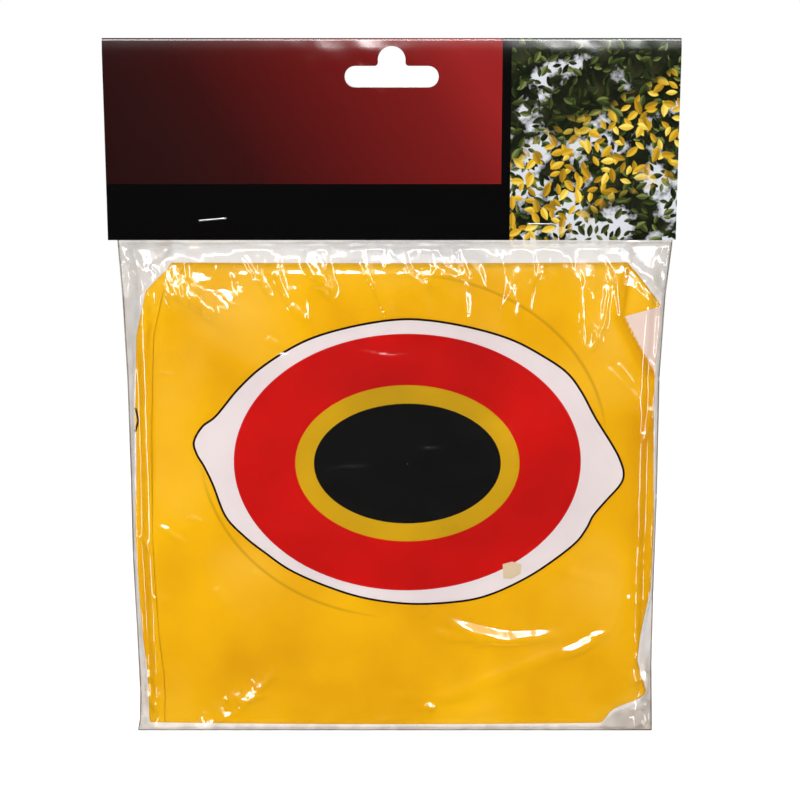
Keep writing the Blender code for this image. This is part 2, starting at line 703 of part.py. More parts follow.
def pole_patches(mat):
    """The two round patches, the valve's with a hole for its stem."""
    face = PATCH_FACE_Y
    bore = STEM_RADIUS + SHEET_GAP
    profile = [(PATCH_RADIUS, face), (bore, face), (bore, face - VINYL), (PATCH_RADIUS, face - VINYL)]
    valve_patch = turned("pole_patch_valve", profile, PACK_X, VALVE_Z, mat, hollow=True)
    y = run_depth("head_tail", -1, PACK_X)
    profile = [(PATCH_RADIUS, y - VINYL / 2.0), (PATCH_RADIUS, y + VINYL / 2.0)]
    hanger_patch = turned("pole_patch_hanger", profile, PACK_X, HANGER_Z, mat, hollow=False)
    return [valve_patch, hanger_patch]


def hang_tab(mat):
    """Hanging tab: a tongue of thick vinyl with a rimmed eyelet, flat on the hanger patch."""
    low = run_depth("head_tail", -1, PACK_X) + VINYL / 2.0 + SHEET_GAP
    high = low + TAB_SHEET
    offset = TAB_LENGTH / 2.0 - TAB_RADIUS
    outline = arc((PACK_X, HANGER_Z + offset), TAB_RADIUS, 0.0, 180.0, ROUND_STEPS // 2)
    outline += arc((PACK_X, HANGER_Z - offset), TAB_RADIUS, 180.0, 360.0, ROUND_STEPS // 2)
    tab = prism("hang_tab", outline, low, high, mat)
    eye_z = HANGER_Z + offset
    rim = EYELET_RADIUS + EYELET_RIM
    profile = [(EYELET_RADIUS, low + TAB_SHEET / 2.0), (rim, low + TAB_SHEET / 2.0),
               (rim, high + TAB_SHEET / 2.0), (EYELET_RADIUS, high + TAB_SHEET / 2.0)]
    combine(tab, turned("eyelet_rim", profile, PACK_X, eye_z, mat, hollow=True), "UNION")
    bore = [(EYELET_RADIUS, low - CUT_OVERRUN), (EYELET_RADIUS, high + CUT_OVERRUN)]
    combine(tab, turned("eyelet_cutter", bore, PACK_X, eye_z, mat, hollow=False), "DIFFERENCE")
    return tab


def valve_flange(mat):
    """Valve flange: a flat ring on the pole patch, with a rib round its rim."""
    face = FLANGE_FACE_Y
    foot = face - FLANGE_SHEET
    bore = STEM_RADIUS + SHEET_GAP
    rib = FLANGE_RADIUS - FLANGE_RIB_WIDTH
    profile = [(bore, face), (rib, face), (rib, face + FLANGE_RIB_HEIGHT),
               (FLANGE_RADIUS, face + FLANGE_RIB_HEIGHT), (FLANGE_RADIUS, foot), (bore, foot)]
    return turned("valve_flange", profile, PACK_X, VALVE_Z, mat, hollow=True)


def valve_stem(mat):
    """Valve stem: a tube with a lip outside, a stop bead inside, and an ear for the strap."""
    lip_foot = LIP_FACE_Y - STEM_LIP
    bead = STEM_END_Y + STEM_BEAD
    profile = [(STEM_BORE, LIP_FACE_Y), (STEM_LIP_RADIUS, LIP_FACE_Y), (STEM_LIP_RADIUS, lip_foot),
               (STEM_RADIUS, lip_foot), (STEM_RADIUS, bead), (STEM_BEAD_RADIUS, bead),
               (STEM_BEAD_RADIUS, STEM_END_Y), (STEM_BORE, STEM_END_Y)]
    stem = turned("valve_stem", profile, PACK_X, VALVE_Z, mat, hollow=True)
    half = EAR_WIDTH / 2.0
    near = PACK_X + (STEM_BORE + STEM_LIP_RADIUS) / 2.0
    outline = [(near, VALVE_Z - half), (HINGE_X, VALVE_Z - half),
               (HINGE_X, VALVE_Z + half), (near, VALVE_Z + half)]
    sunk = STEM_LIP / 10.0
    combine(stem, prism("ear", outline, lip_foot + sunk, LIP_FACE_Y - sunk, mat), "UNION")
    place_origin(stem, (PACK_X, LIP_FACE_Y, VALVE_Z))
    return stem


def valve_plug(mat):
    """Valve plug: a round head with a tapered shank, moulded on the end of its strap."""
    head_face = HEAD_FOOT_Y + PLUG_HEAD
    profile = [(PLUG_TIP_RADIUS, HEAD_FOOT_Y - PLUG_LENGTH), (PLUG_TOP_RADIUS, HEAD_FOOT_Y),
               (PLUG_HEAD_RADIUS, HEAD_FOOT_Y), (PLUG_HEAD_RADIUS, head_face)]
    plug = turned("valve_plug", profile, PACK_X, VALVE_Z, mat, hollow=False)
    half = STRAP_WIDTH / 2.0
    end = HINGE_X - HINGE_END_GAP
    outline = [(PACK_X, VALVE_Z - half), (end, VALVE_Z - half),
               (end, VALVE_Z + half), (PACK_X, VALVE_Z + half)]
    sunk = STRAP_SHEET / 10.0
    strap = prism("strap", outline, HEAD_FOOT_Y + sunk, HEAD_FOOT_Y + STRAP_SHEET, mat)
    combine(plug, strap, "UNION")
    place_origin(plug, (HINGE_X, HINGE_Y, VALVE_Z))
    return plug


def valve_flap(mat):
    """Check flap: a disc on a narrow tab that closes the stem's inner end."""
    half = FLAP_TAB_WIDTH / 2.0
    start = math.degrees(math.asin(half / FLAP_RADIUS))
    outline = arc((PACK_X, VALVE_Z), FLAP_RADIUS, start - 180.0, 180.0 - start, ROUND_STEPS)
    end = FLAP_HINGE_X + HINGE_END_GAP
    outline += [(end, VALVE_Z + half), (end, VALVE_Z - half)]
    flap = prism("valve_check_flap", outline, FLAP_FACE_Y - FLAP_SHEET, FLAP_FACE_Y, mat)
    place_origin(flap, (FLAP_HINGE_X, FLAP_HINGE_Y, VALVE_Z))
    return flap


def film_rows():
    """Heights of the film's rows: head, top fold, valve, front, foot fold and weld."""
    rows = [POUCH_TOP_Z + (BUNDLE_TOP_Z - POUCH_TOP_Z) * share for share in HEAD_ROW_SHARES]
    for angle in FOLD_ROW_ANGLES:
        rows.append(TOP_FOLD_Z + TOP_FOLD_RADIUS * math.cos(angle))
    rows.append(VALVE_Z + PLUG_HEAD_RADIUS + FILM_EASE)
    start = VALVE_Z - VALVE_TENT_REACH
    rows += [start + (FOOT_FOLD_Z - start) * share for share in MAIN_ROW_SHARES]
    for angle in reversed(FOLD_ROW_ANGLES[:-1]):
        rows.append(FOOT_FOLD_Z - FOOT_FOLD_RADIUS * math.cos(angle))
    rows += [BUNDLE_FOOT_Z - FILM_EASE, POUCH_FOOT_Z + BOTTOM_WELD]
    return rows


def bundle_reach(z):
    """Half width of the folded ball at a height, held level past its folds."""
    if z > TOP_FOLD_Z:
        return half_width(("top_fold", math.pi / 2.0))
    if z < FOOT_FOLD_Z:
        return half_width(("foot_fold", 0.0))
    return half_width(("front", z))


def film_edge(z):
    """Half width of the pouch at a height: its flat width, drawn in by what it holds."""
    share = (POUCH_TOP_Z - z) / (POUCH_TOP_Z - POUCH_FOOT_Z)
    neck_half = NECK_WIDTH / 2.0
    foot_half = BUNDLE_HALF + FOOT_MARGIN
    flat = neck_half + (foot_half - neck_half) * share
    slack = (neck_half + foot_half) / 2.0 - BUNDLE_HALF - SIDE_EASE
    drawn = slack * math.sin(math.pi * share) ** DRAW_IN_SHARE if 0.0 < share < 1.0 else 0.0
    return max(flat - drawn, bundle_reach(z) + SIDE_EASE)


def film_columns(z, outer):
    """Places across the pouch, each with its share of the film's height, on one face of the film."""
    reach = bundle_reach(z) + SHEET_GAP
    edge = film_edge(z) - SIDE_WELD
    if outer:
        reach += FILM
        edge += SIDE_WELD
    half = [(share * reach, 1.0) for share in COLUMN_SHARES]
    for share, height in zip(RIM_SHARES, RIM_HEIGHT_SHARES):
        half.append((reach + (edge - reach) * share, height))
    return [(-x, height) for x, height in reversed(half[1:])] + half


def outer_stations(z, side):
    """Stations of the fold that the film may touch on one side, seen from a height."""
    steps = [math.pi / 2.0 * i / TENT_STEPS for i in range(TENT_STEPS + 1)]
    if side < 0.0:
        stations = [("top_fold", math.pi - a) for a in steps]
        stations += [("foot_fold", a) for a in steps]
        run = ("front", min(max(z, FOOT_FOLD_Z), TOP_FOLD_Z))
    else:
        stations = [("top_fold", a) for a in steps]
        stations += [("foot_fold", math.pi - a) for a in steps]
        run = ("foot_tail", min(max(z, FOOT_FOLD_Z), VALVE_Z))
    return stations + [run]


def cover(x, z, side):
    """How far the film stands out on one side of the pack, as a tent over what it holds."""
    level = INK_FACE_LEVEL if side < 0.0 else PATCH_FACE_LEVEL
    reach = bundle_reach(z) + SHEET_GAP + FILM
    held = PACK_X + min(max(x - PACK_X, -reach), reach)
    height = 0.0
    for station in outer_stations(z, side):
        spot = fold_point(station, level, held)
        fall = FILM_FALL_TOP_SHARE if z > spot[2] else FILM_FALL_FOOT_SHARE
        height = max(height, side * spot[1] - abs(z - spot[2]) * fall)
    if side > 0.0:
        for radius, face in VALVE_DISCS:
            across = max(0.0, abs(x - PACK_X) - VALVE_TENT_REACH) * VALVE_TENT_FALL_SHARE
            above = max(0.0, z - VALVE_Z - radius - FILM_EASE) * FILM_FALL_TOP_SHARE
            below = max(0.0, VALVE_Z - z - VALVE_TENT_REACH) * VALVE_TENT_FALL_SHARE
            height = max(height, face - across - above - below)
    return height


def pouch_loop(z, outer, flat=False):
    """One loop of the pouch at a height, on the film's outer or inner face."""
    grown = FILM if outer else 0.0
    loop = []
    for side in (-1.0, 1.0):
        row = []
        for column, full in film_columns(z, outer):
            x = PACK_X + column
            stand = 0.0 if flat else full * (cover(x, z, side) + FILM_EASE)
            row.append((x, side * (max(NECK_HALF_GAP, stand) + grown), z))
        loop += row if side < 0.0 else row[::-1]
    return loop


def split_film(quads, inner_count):
    """Cut the film's quads in two along like diagonals on both faces, so that they keep apart."""
    faces = []
    for i, (a, b, c, d) in enumerate(quads):
        if i < inner_count:
            faces += [(a, b, d), (b, c, d)]
        else:
            faces += [(a, b, c), (a, c, d)]
    return faces


def bag_pouch(mat):
    """Pouch of the bag: two film walls, welded at the sides and the foot, open at the neck."""
    rows = film_rows()
    rings = [pouch_loop(z, False) for z in reversed(rows)]
    rings += [pouch_loop(z, True) for z in rows]
    rings.append(pouch_loop(POUCH_FOOT_Z, True, flat=True))
    count = len(rings[0])
    points, faces = loft(rings)
    faces = split_film(faces[:-2], count * (len(rows) - 1))
    faces += closing_faces(0, count)
    faces += closing_faces(len(points) - count, count)
    return mesh_object("bag_pouch", points, faces, mat)


def closing_faces(start, count):
    """Faces that close a loop whose front and back rows lie side by side."""
    half = count // 2
    faces = []
    for i in range(half - 1):
        faces.append((start + i, start + i + 1, start + count - 2 - i, start + count - 1 - i))
    return faces


def build():
    """Build the pack, body by body."""
    clear_scene()
    card_mat = material("printed card", CARD_RED, 0.35)
    steel_mat = material("staple wire", STEEL, 0.3, metallic=1.0)
    film_mat = material("clear film", CLEAR, 0.12, alpha=0.12)
    vinyl_mat = material("yellow vinyl", YELLOW, 0.4)
    valve_mat = material("moulded vinyl", WHITE, 0.4)
    inks = {
        "black": material("black ink", BLACK, 0.35),
        "white": material("white ink", WHITE, 0.4),
        "red": material("red ink", RED, 0.38),
        "ring": material("ring ink", RING_YELLOW, 0.4),
    }

    header = empty("header_body", (0.0, 0.0, 0.0))
    pouch = empty("pouch_body", (0.0, 0.0, CARD_FOOT_Z), header)
    balloon = empty("balloon_body", (PACK_X, 0.0, BUNDLE_FOOT_Z), pouch)

    hold(header_card(card_mat), header)
    hold(bag_neck(film_mat), header)
    for name, frame in staple_places():
        hold(staple(name, frame, steel_mat), header)

    folded = [gore(index, vinyl_mat) for index in range(GORES)]
    folded += scare_eye(inks)
    folded += pole_patches(vinyl_mat)
    folded.append(hang_tab(valve_mat))
    folded.append(valve_flange(valve_mat))
    stem = valve_stem(valve_mat)
    plug = valve_plug(valve_mat)
    flap = valve_flap(valve_mat)

    hold(bag_pouch(film_mat), pouch)
    for piece in folded:
        hold(piece, balloon)
    hold(stem, balloon)
    hold(plug, stem)
    hold(flap, stem)


build()
print(f"ball diameter {BALL_DIAMETER / MM:.0f} mm, meridian {MERIDIAN / MM:.0f} mm")
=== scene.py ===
"""Looks of a bird scare balloon in its hanging pack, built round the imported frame.

The pack is a folded header card, a clear film bag and a deflated six-gore vinyl ball that lies
folded in the bag. Everything is in metres, with X to the right, Y to the back and Z up, and the
origin at the top of the hang slot.
"""

from __future__ import annotations

import logging
import math
from collections.abc import Sequence
from dataclasses import dataclass, field
from enum import Enum
from functools import partial

import bpy
import numpy as np
from mathutils import Matrix, Vector
from mathutils.geometry import delaunay_2d_cdt


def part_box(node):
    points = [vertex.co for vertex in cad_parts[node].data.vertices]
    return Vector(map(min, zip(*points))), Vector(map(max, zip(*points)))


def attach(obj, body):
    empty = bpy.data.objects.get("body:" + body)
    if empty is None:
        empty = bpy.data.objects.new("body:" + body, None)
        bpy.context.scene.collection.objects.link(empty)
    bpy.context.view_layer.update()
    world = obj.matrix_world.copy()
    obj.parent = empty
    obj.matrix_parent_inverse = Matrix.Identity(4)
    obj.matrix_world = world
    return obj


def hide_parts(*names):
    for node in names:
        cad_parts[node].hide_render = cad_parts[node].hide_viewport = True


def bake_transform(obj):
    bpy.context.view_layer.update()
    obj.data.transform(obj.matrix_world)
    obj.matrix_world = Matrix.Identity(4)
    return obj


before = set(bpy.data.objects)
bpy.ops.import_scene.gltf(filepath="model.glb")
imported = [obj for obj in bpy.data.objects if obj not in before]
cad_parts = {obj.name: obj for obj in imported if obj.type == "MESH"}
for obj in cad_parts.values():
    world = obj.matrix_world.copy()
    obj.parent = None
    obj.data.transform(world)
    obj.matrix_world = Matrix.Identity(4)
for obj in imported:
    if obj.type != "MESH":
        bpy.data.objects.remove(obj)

log = logging.getLogger("scare_balloon")
MM = 0.001
SHADER = "Principled BSDF"
Array = np.ndarray
Material = bpy.types.Material
Node = bpy.types.Node
Object = bpy.types.Object
Tree = bpy.types.NodeTree
Socket = bpy.types.NodeSocket
Pair = tuple[float, float]
Pairs = tuple[Pair, ...]
Stops = tuple[tuple[float, str], ...]


class Body(Enum):
    """Bodies that the pieces made here move with, as the record names them."""

    HEADER = "header"
    POUCH = "pouch"
    BALLOON = "balloon"


class Slot(Enum):
    """Material slots of the record, listed with the pieces made here."""

    CARD = "printed_card"
    STAPLE = "staple_wire"
    FILM = "clear_film"
    VINYL = "yellow_vinyl"
    BLACK = "black_ink"
    WHITE = "white_ink"
    RED = "red_ink"
    RING = "ring_ink"


class Side(Enum):
    """The two sides of the pack, with the direction of each along Y."""

    FRONT = -1.0
    BACK = 1.0


class Profile(Enum):
    """Cross-sections that a crease of the film can have."""

    RIDGE = "ridge"
    STEP = "step"
    PILLOW = "pillow"


# Common tools


def linear(code: str) -> tuple[float, float, float, float]:
    """Turn an sRGB hex colour into Blender's linear values.

    Args:
        code: Six hex digits after a hash sign.

    Returns:
        Red, green, blue and an alpha of one.
    """
    values = [int(code[i:i + 2], 16) / 255.0 for i in (1, 3, 5)]
    red, green, blue = (v / 12.92 if v <= 0.04045 else ((v + 0.055) / 1.055) ** 2.4 for v in values)
    return red, green, blue, 1.0


def set_inputs(tree: Tree, node: Node, inputs: dict) -> None:
    """Give a node's inputs their values and links.

    Args:
        tree: The node's tree.
        node: The node.
        inputs: Value, socket or node for each input, by name or number.
    """
    for key, value in inputs.items():
        if isinstance(value, Node):
            value = value.outputs[0]
        if isinstance(value, Socket):
            tree.links.new(value, node.inputs[key])
        else:
            node.inputs[key].default_value = value


def add_node(tree: Tree, kind: str, inputs: dict | None = None, **settings) -> Node:
    """Add a node with its settings, values and links.

    Args:
        tree: The node tree to add to.
        kind: The node's Blender type, which may leave out ShaderNode.
        inputs: Value, socket or node for each input, by name or number.
        settings: Properties of the node itself.

    Returns:
        The new node.
    """
    node = tree.nodes.new(kind if "Node" in kind else f"ShaderNode{kind}")
    for name, value in settings.items():
        setattr(node, name, value)
    set_inputs(tree, node, inputs or {})
    return node


def fill_ramp(ramp: Node, stops: Stops) -> None:
    """Give a colour ramp its stops.

    Args:
        ramp: The ramp's node.
        stops: Pairs of place and hex colour.
    """
    elements = ramp.color_ramp.elements
    while len(elements) < len(stops):
        elements.new(0.5)
    for element, (at, code) in zip(elements, stops):
        element.position = at
        element.color = linear(code)


def start_finish(name: str, empty: bool = False) -> tuple[Material, Tree, Socket]:
    """Start a node material that is placed by the piece's Object coordinates.

    Args:
        name: What the real material is.
        empty: Whether to leave out the usual shader and output.

    Returns:
        The material, its tree and the place on the piece.
    """
    mat = bpy.data.materials.new(name)
    mat.use_nodes = True
    if empty:
        mat.node_tree.nodes.clear()
    return mat, mat.node_tree, add_node(mat.node_tree, "TexCoord").outputs["Object"]


def smoothstep(values: Array | float, low: float, high: float) -> Array:
    """Smooth rise from 0 at low to 1 at high, read at each value."""
    t = np.clip((np.asarray(values, float) - low) / (high - low), 0.0, 1.0)
    return t * t * (3.0 - 2.0 * t)


def hash_unit(i: Array, j: Array, seed: int) -> Array:
    """Fixed pseudo-random numbers from 0 to 1 for cells numbered across and up."""
    mixed = np.sin(i * 127.1 + j * 311.7 + seed * 74.7) * 43758.5453
    return mixed - np.floor(mixed)


def value_noise(x: Array, z: Array, seed: int) -> Array:
    """Smooth noise from -1 to 1 over a plane, with cells of one unit.

    Args:
        x: Places across, in cells.
        z: Places up, in cells.
        seed: Which noise.

    Returns:
        The noise at each place.
    """
    i, j = np.floor(x), np.floor(z)
    u, v = smoothstep(x - i, 0.0, 1.0), smoothstep(z - j, 0.0, 1.0)
    low = hash_unit(i, j, seed) * (1.0 - u) + hash_unit(i + 1.0, j, seed) * u
    high = hash_unit(i, j + 1.0, seed) * (1.0 - u) + hash_unit(i + 1.0, j + 1.0, seed) * u
    return 2.0 * (low * (1.0 - v) + high * v) - 1.0


def patchwork(x: Array, z: Array, wide: float, high: float, seed: int) -> Array:
    """Smooth noise from -1 to 1 in cells whose width and height are given in millimetres."""
    return value_noise(x / (wide * MM), z / (high * MM), seed)


def crumple(x: Array, z: Array, cell: float, slope: float, seed: int) -> Array:
    """Facets with sharp ridges between them, as film crumples.

    Args:
        x: Places across, in metres.
        z: Heights, in metres.
        cell: Size of a facet in metres.
        slope: Steepest slope of a facet.
        seed: Which pattern.

    Returns:
        Height at each place, in metres.
    """
    i, j = np.floor(x / cell), np.floor(z / cell)
    lowest = np.full(np.shape(x), 1e9)
    curve = 0.55 * slope / cell
    for di in (-1.0, 0.0, 1.0):
        for dj in (-1.0, 0.0, 1.0):
            ci, cj = i + di, j + dj
            off_x = x - (ci + hash_unit(ci, cj, seed)) * cell
            off_z = z - (cj + hash_unit(ci, cj, seed + 1)) * cell
            lean_x = slope * (2.0 * hash_unit(ci, cj, seed + 2) - 1.0)
            lean_z = slope * (2.0 * hash_unit(ci, cj, seed + 3) - 1.0)
            plane = lean_x * off_x + lean_z * off_z + curve * (off_x ** 2 + off_z ** 2)
            lowest = np.minimum(lowest, plane)
    return np.maximum(0.0, lowest + 0.45 * slope * cell)


def along_outline(points: Pairs, z: Array) -> Array:
    """Read an outline, given as pairs of height and place from the top down, at any height."""
    heights, places = np.array(points)[::-1].T
    return np.interp(z, heights, places)


def grid_quads(rows: int, columns: int, closed: bool = False) -> Array:
    """Faces of a grid whose points are listed row by row.

    Args:
        rows: Number of rows.
        columns: Number of points in a row.
        closed: Whether each row joins its own start.

    Returns:
        Four point numbers for each face.
    """
    spans = columns if closed else columns - 1
    i, j = np.meshgrid(np.arange(rows - 1), np.arange(spans), indexing="ij")
    k = (j + 1) % columns
    quads = np.stack([i * columns + j, i * columns + k, (i + 1) * columns + k, (i + 1) * columns + j], -1)
    return quads.reshape(-1, 4)


def new_object(name: str, data: bpy.types.ID) -> Object:
    """Make an object and put it in the scene.

    Args:
        name: The object's name.
        data: Its mesh, camera or light.

    Returns:
        The new object.
    """
    obj = bpy.data.objects.new(name, data)
    bpy.context.scene.collection.objects.link(obj)
    return obj


def make_piece(name: str, points: Array, faces: Sequence, material: Material,
               sharp: float | None = 35.0) -> Object:
    """Make one mesh object at the origin.

    Args:
        name: The object's name.
        points: One row for each point.
        faces: Point numbers of each face.
        material: The finish.
        sharp: Angle in degrees above which an edge stays sharp, or None for all smooth.

    Returns:
        The new object.
    """
    mesh = bpy.data.meshes.new(name)
    rows = np.asarray(points, float).reshape(-1, 3).tolist()
    mesh.from_pydata(rows, [], [tuple(map(int, face)) for face in faces])
    mesh.validate()
    mesh.shade_smooth()
    if sharp is not None:
        mesh.set_sharp_from_angle(angle=math.radians(sharp))
    mesh.materials.append(material)
    return new_object(name, mesh)


def report(obj: Object, body: str) -> None:
    """Log what a piece is and what it moves with.

    Args:
        obj: The piece.
        body: What it moves with.
    """
    log.info("%s: %d faces, moves with %s", obj.name, len(obj.data.polygons), body)


def settle(obj: Object, body: Body, slot: Slot, *nodes: str) -> None:
    """Let a piece ride on its body, in place of the CAD nodes that it stands for.

    Args:
        obj: The piece.
        body: What it moves with.
        slot: Its material slot; not used.
        nodes: The CAD nodes.
    """
    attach(obj, body.value)
    if nodes:
        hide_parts(*nodes)
    report(obj, body.value)


def plain_mesh(obj: Object) -> Object:
    """Turn an object's evaluated modifiers into its plain mesh.

    Args:
        obj: An object with modifiers.

    Returns:
        The same object, with none.
    """
    graph = bpy.context.evaluated_depsgraph_get()
    mesh = bpy.data.meshes.new_from_object(obj.evaluated_get(graph))
    obj.modifiers.clear()
    obj.data = mesh
    return obj


# Sizes from the frame


@dataclass(frozen=True)
class PackPlan:
    """Places in the pack that its pieces share, read from the frame or set as the part sets them."""

    card: tuple[Vector, Vector]
    pouch: tuple[Vector, Vector]
    ball: tuple[Vector, Vector]
    centre_x: float = 1.5 * MM
    vinyl: float = 0.3 * MM
    pitch: float = 0.65 * MM
    gores: int = 6
    front_air: float = 1.5 * MM
    rear_air: float = 6.0 * MM

    @staticmethod
    def read() -> PackPlan:
        """Read the boxes of the card, the pouch and the front gore from the frame."""
        return PackPlan(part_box("header_card"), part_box("bag_pouch"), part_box("gore_1"))

    @property
    def fold_z(self) -> float:
        """Height of the card's fold."""
        return self.card[1].z

    @property
    def card_foot(self) -> float:
        """Height of the card's foot."""
        return self.card[0].z

    @property
    def top_z(self) -> float:
        """Height of the folded ball's top."""
        return self.ball[1].z

    @property
    def foot_z(self) -> float:
        """Height of the folded ball's foot."""
        return self.ball[0].z

    @property
    def front_layers(self) -> int:
        """Sheets in the front run and the head tail, less one."""
        return 2 * self.gores - 1

    @property
    def all_layers(self) -> int:
        """Sheets in the whole folded stack, less one."""
        return 3 * self.gores - 1

    @property
    def half(self) -> float:
        """Half the folded ball's width."""
        return self.ball[1].x - self.centre_x

    @property
    def front_y(self) -> float:
        """Depth of the outermost sheet in the middle of the front."""
        return self.ball[0].y + self.vinyl / 2.0

    @property
    def top_radius(self) -> float:
        """Radius of the top fold's outermost sheet."""
        return (self.front_layers * self.pitch + self.front_air) / 2.0

    @property
    def foot_radius(self) -> float:
        """Radius of the foot fold's outermost sheet."""
        return (self.all_layers * self.pitch + self.front_air + self.rear_air) / 2.0

    @property
    def top_fold_z(self) -> float:
        """Height of the top fold's axis."""
        return self.top_z - self.top_radius - self.vinyl / 2.0

    @property
    def foot_fold_z(self) -> float:
        """Height of the foot fold's axis."""
        return self.foot_z + self.foot_radius + self.vinyl / 2.0


# Node trees that make shapes


def wire_sweep(finish: Material, rounding: float = 0.28) -> Tree:
    """Node tree that sweeps a rounded rectangle of wire along a path of edges.

    Args:
        finish: The wire's material.
        rounding: Radius of the wire's edges, as a share of its depth.

    Returns:
        The tree, with inputs Width and Depth.
    """
    tree = bpy.data.node_groups.new("wire_sweep", "GeometryNodeTree")
    for name, way, kind in (("Path", "INPUT", "Geometry"), ("Width", "INPUT", "Float"),
                            ("Depth", "INPUT", "Float"), ("Wire", "OUTPUT", "Geometry")):
        tree.interface.new_socket(name, in_out=way, socket_type=f"NodeSocket{kind}")
    node = partial(add_node, tree)
    given = node("NodeGroupInput").outputs
    path = node("GeometryNodeMeshToCurve", {"Mesh": given["Path"]})
    flat = node("GeometryNodeSetCurveNormal", {"Curve": path}, mode="Z_UP")
    section = node("GeometryNodeCurvePrimitiveQuadrilateral", {
        "Width": given["Depth"], "Height": given["Width"]})
    radius = node("Math", {0: given["Depth"], 1: rounding}, operation="MULTIPLY")
    rounded = node("GeometryNodeFilletCurve", {"Curve": section, "Count": 3, "Radius": radius}, mode="POLY")
    swept = node("GeometryNodeCurveToMesh", {"Curve": flat, "Profile Curve": rounded, "Fill Caps": True})
    real = node("GeometryNodeRealizeInstances", {"Geometry": swept})
    dressed = node("GeometryNodeSetMaterial", {"Geometry": real, "Material": finish})
    node("NodeGroupOutput", {"Wire": dressed})
    return tree


def sweep_path(name: str, path: Sequence, tree: Tree, sizes: dict[str, float]) -> Object:
    """Sweep a wire along a path and keep the result as a plain mesh.

    Args:
        name: The object's name.
        path: Points of the path.
        tree: The sweep's node tree.
        sizes: Value of each named input.

    Returns:
        The wire.
    """
    mesh = bpy.data.meshes.new(f"{name}_path")
    mesh.from_pydata(path, [(i, i + 1) for i in range(len(path) - 1)], [])
    wire = new_object(name, mesh)
    grown = wire.modifiers.new(tree.name, "NODES")
    grown.node_group = tree
    for item in tree.interface.items_tree:
        if item.in_out == "INPUT" and item.name in sizes:
            grown[item.identifier] = sizes[item.name]
    return plain_mesh(wire)


# Studio


@dataclass(frozen=True)
class SoftBox:
    """One rectangular light: its place seen from the pack's middle, its size and its brightness."""

    name: str
    azimuth: float
    elevation: float
    distance: float
    size: Pair
    radiance: float
    shine_only: bool = False


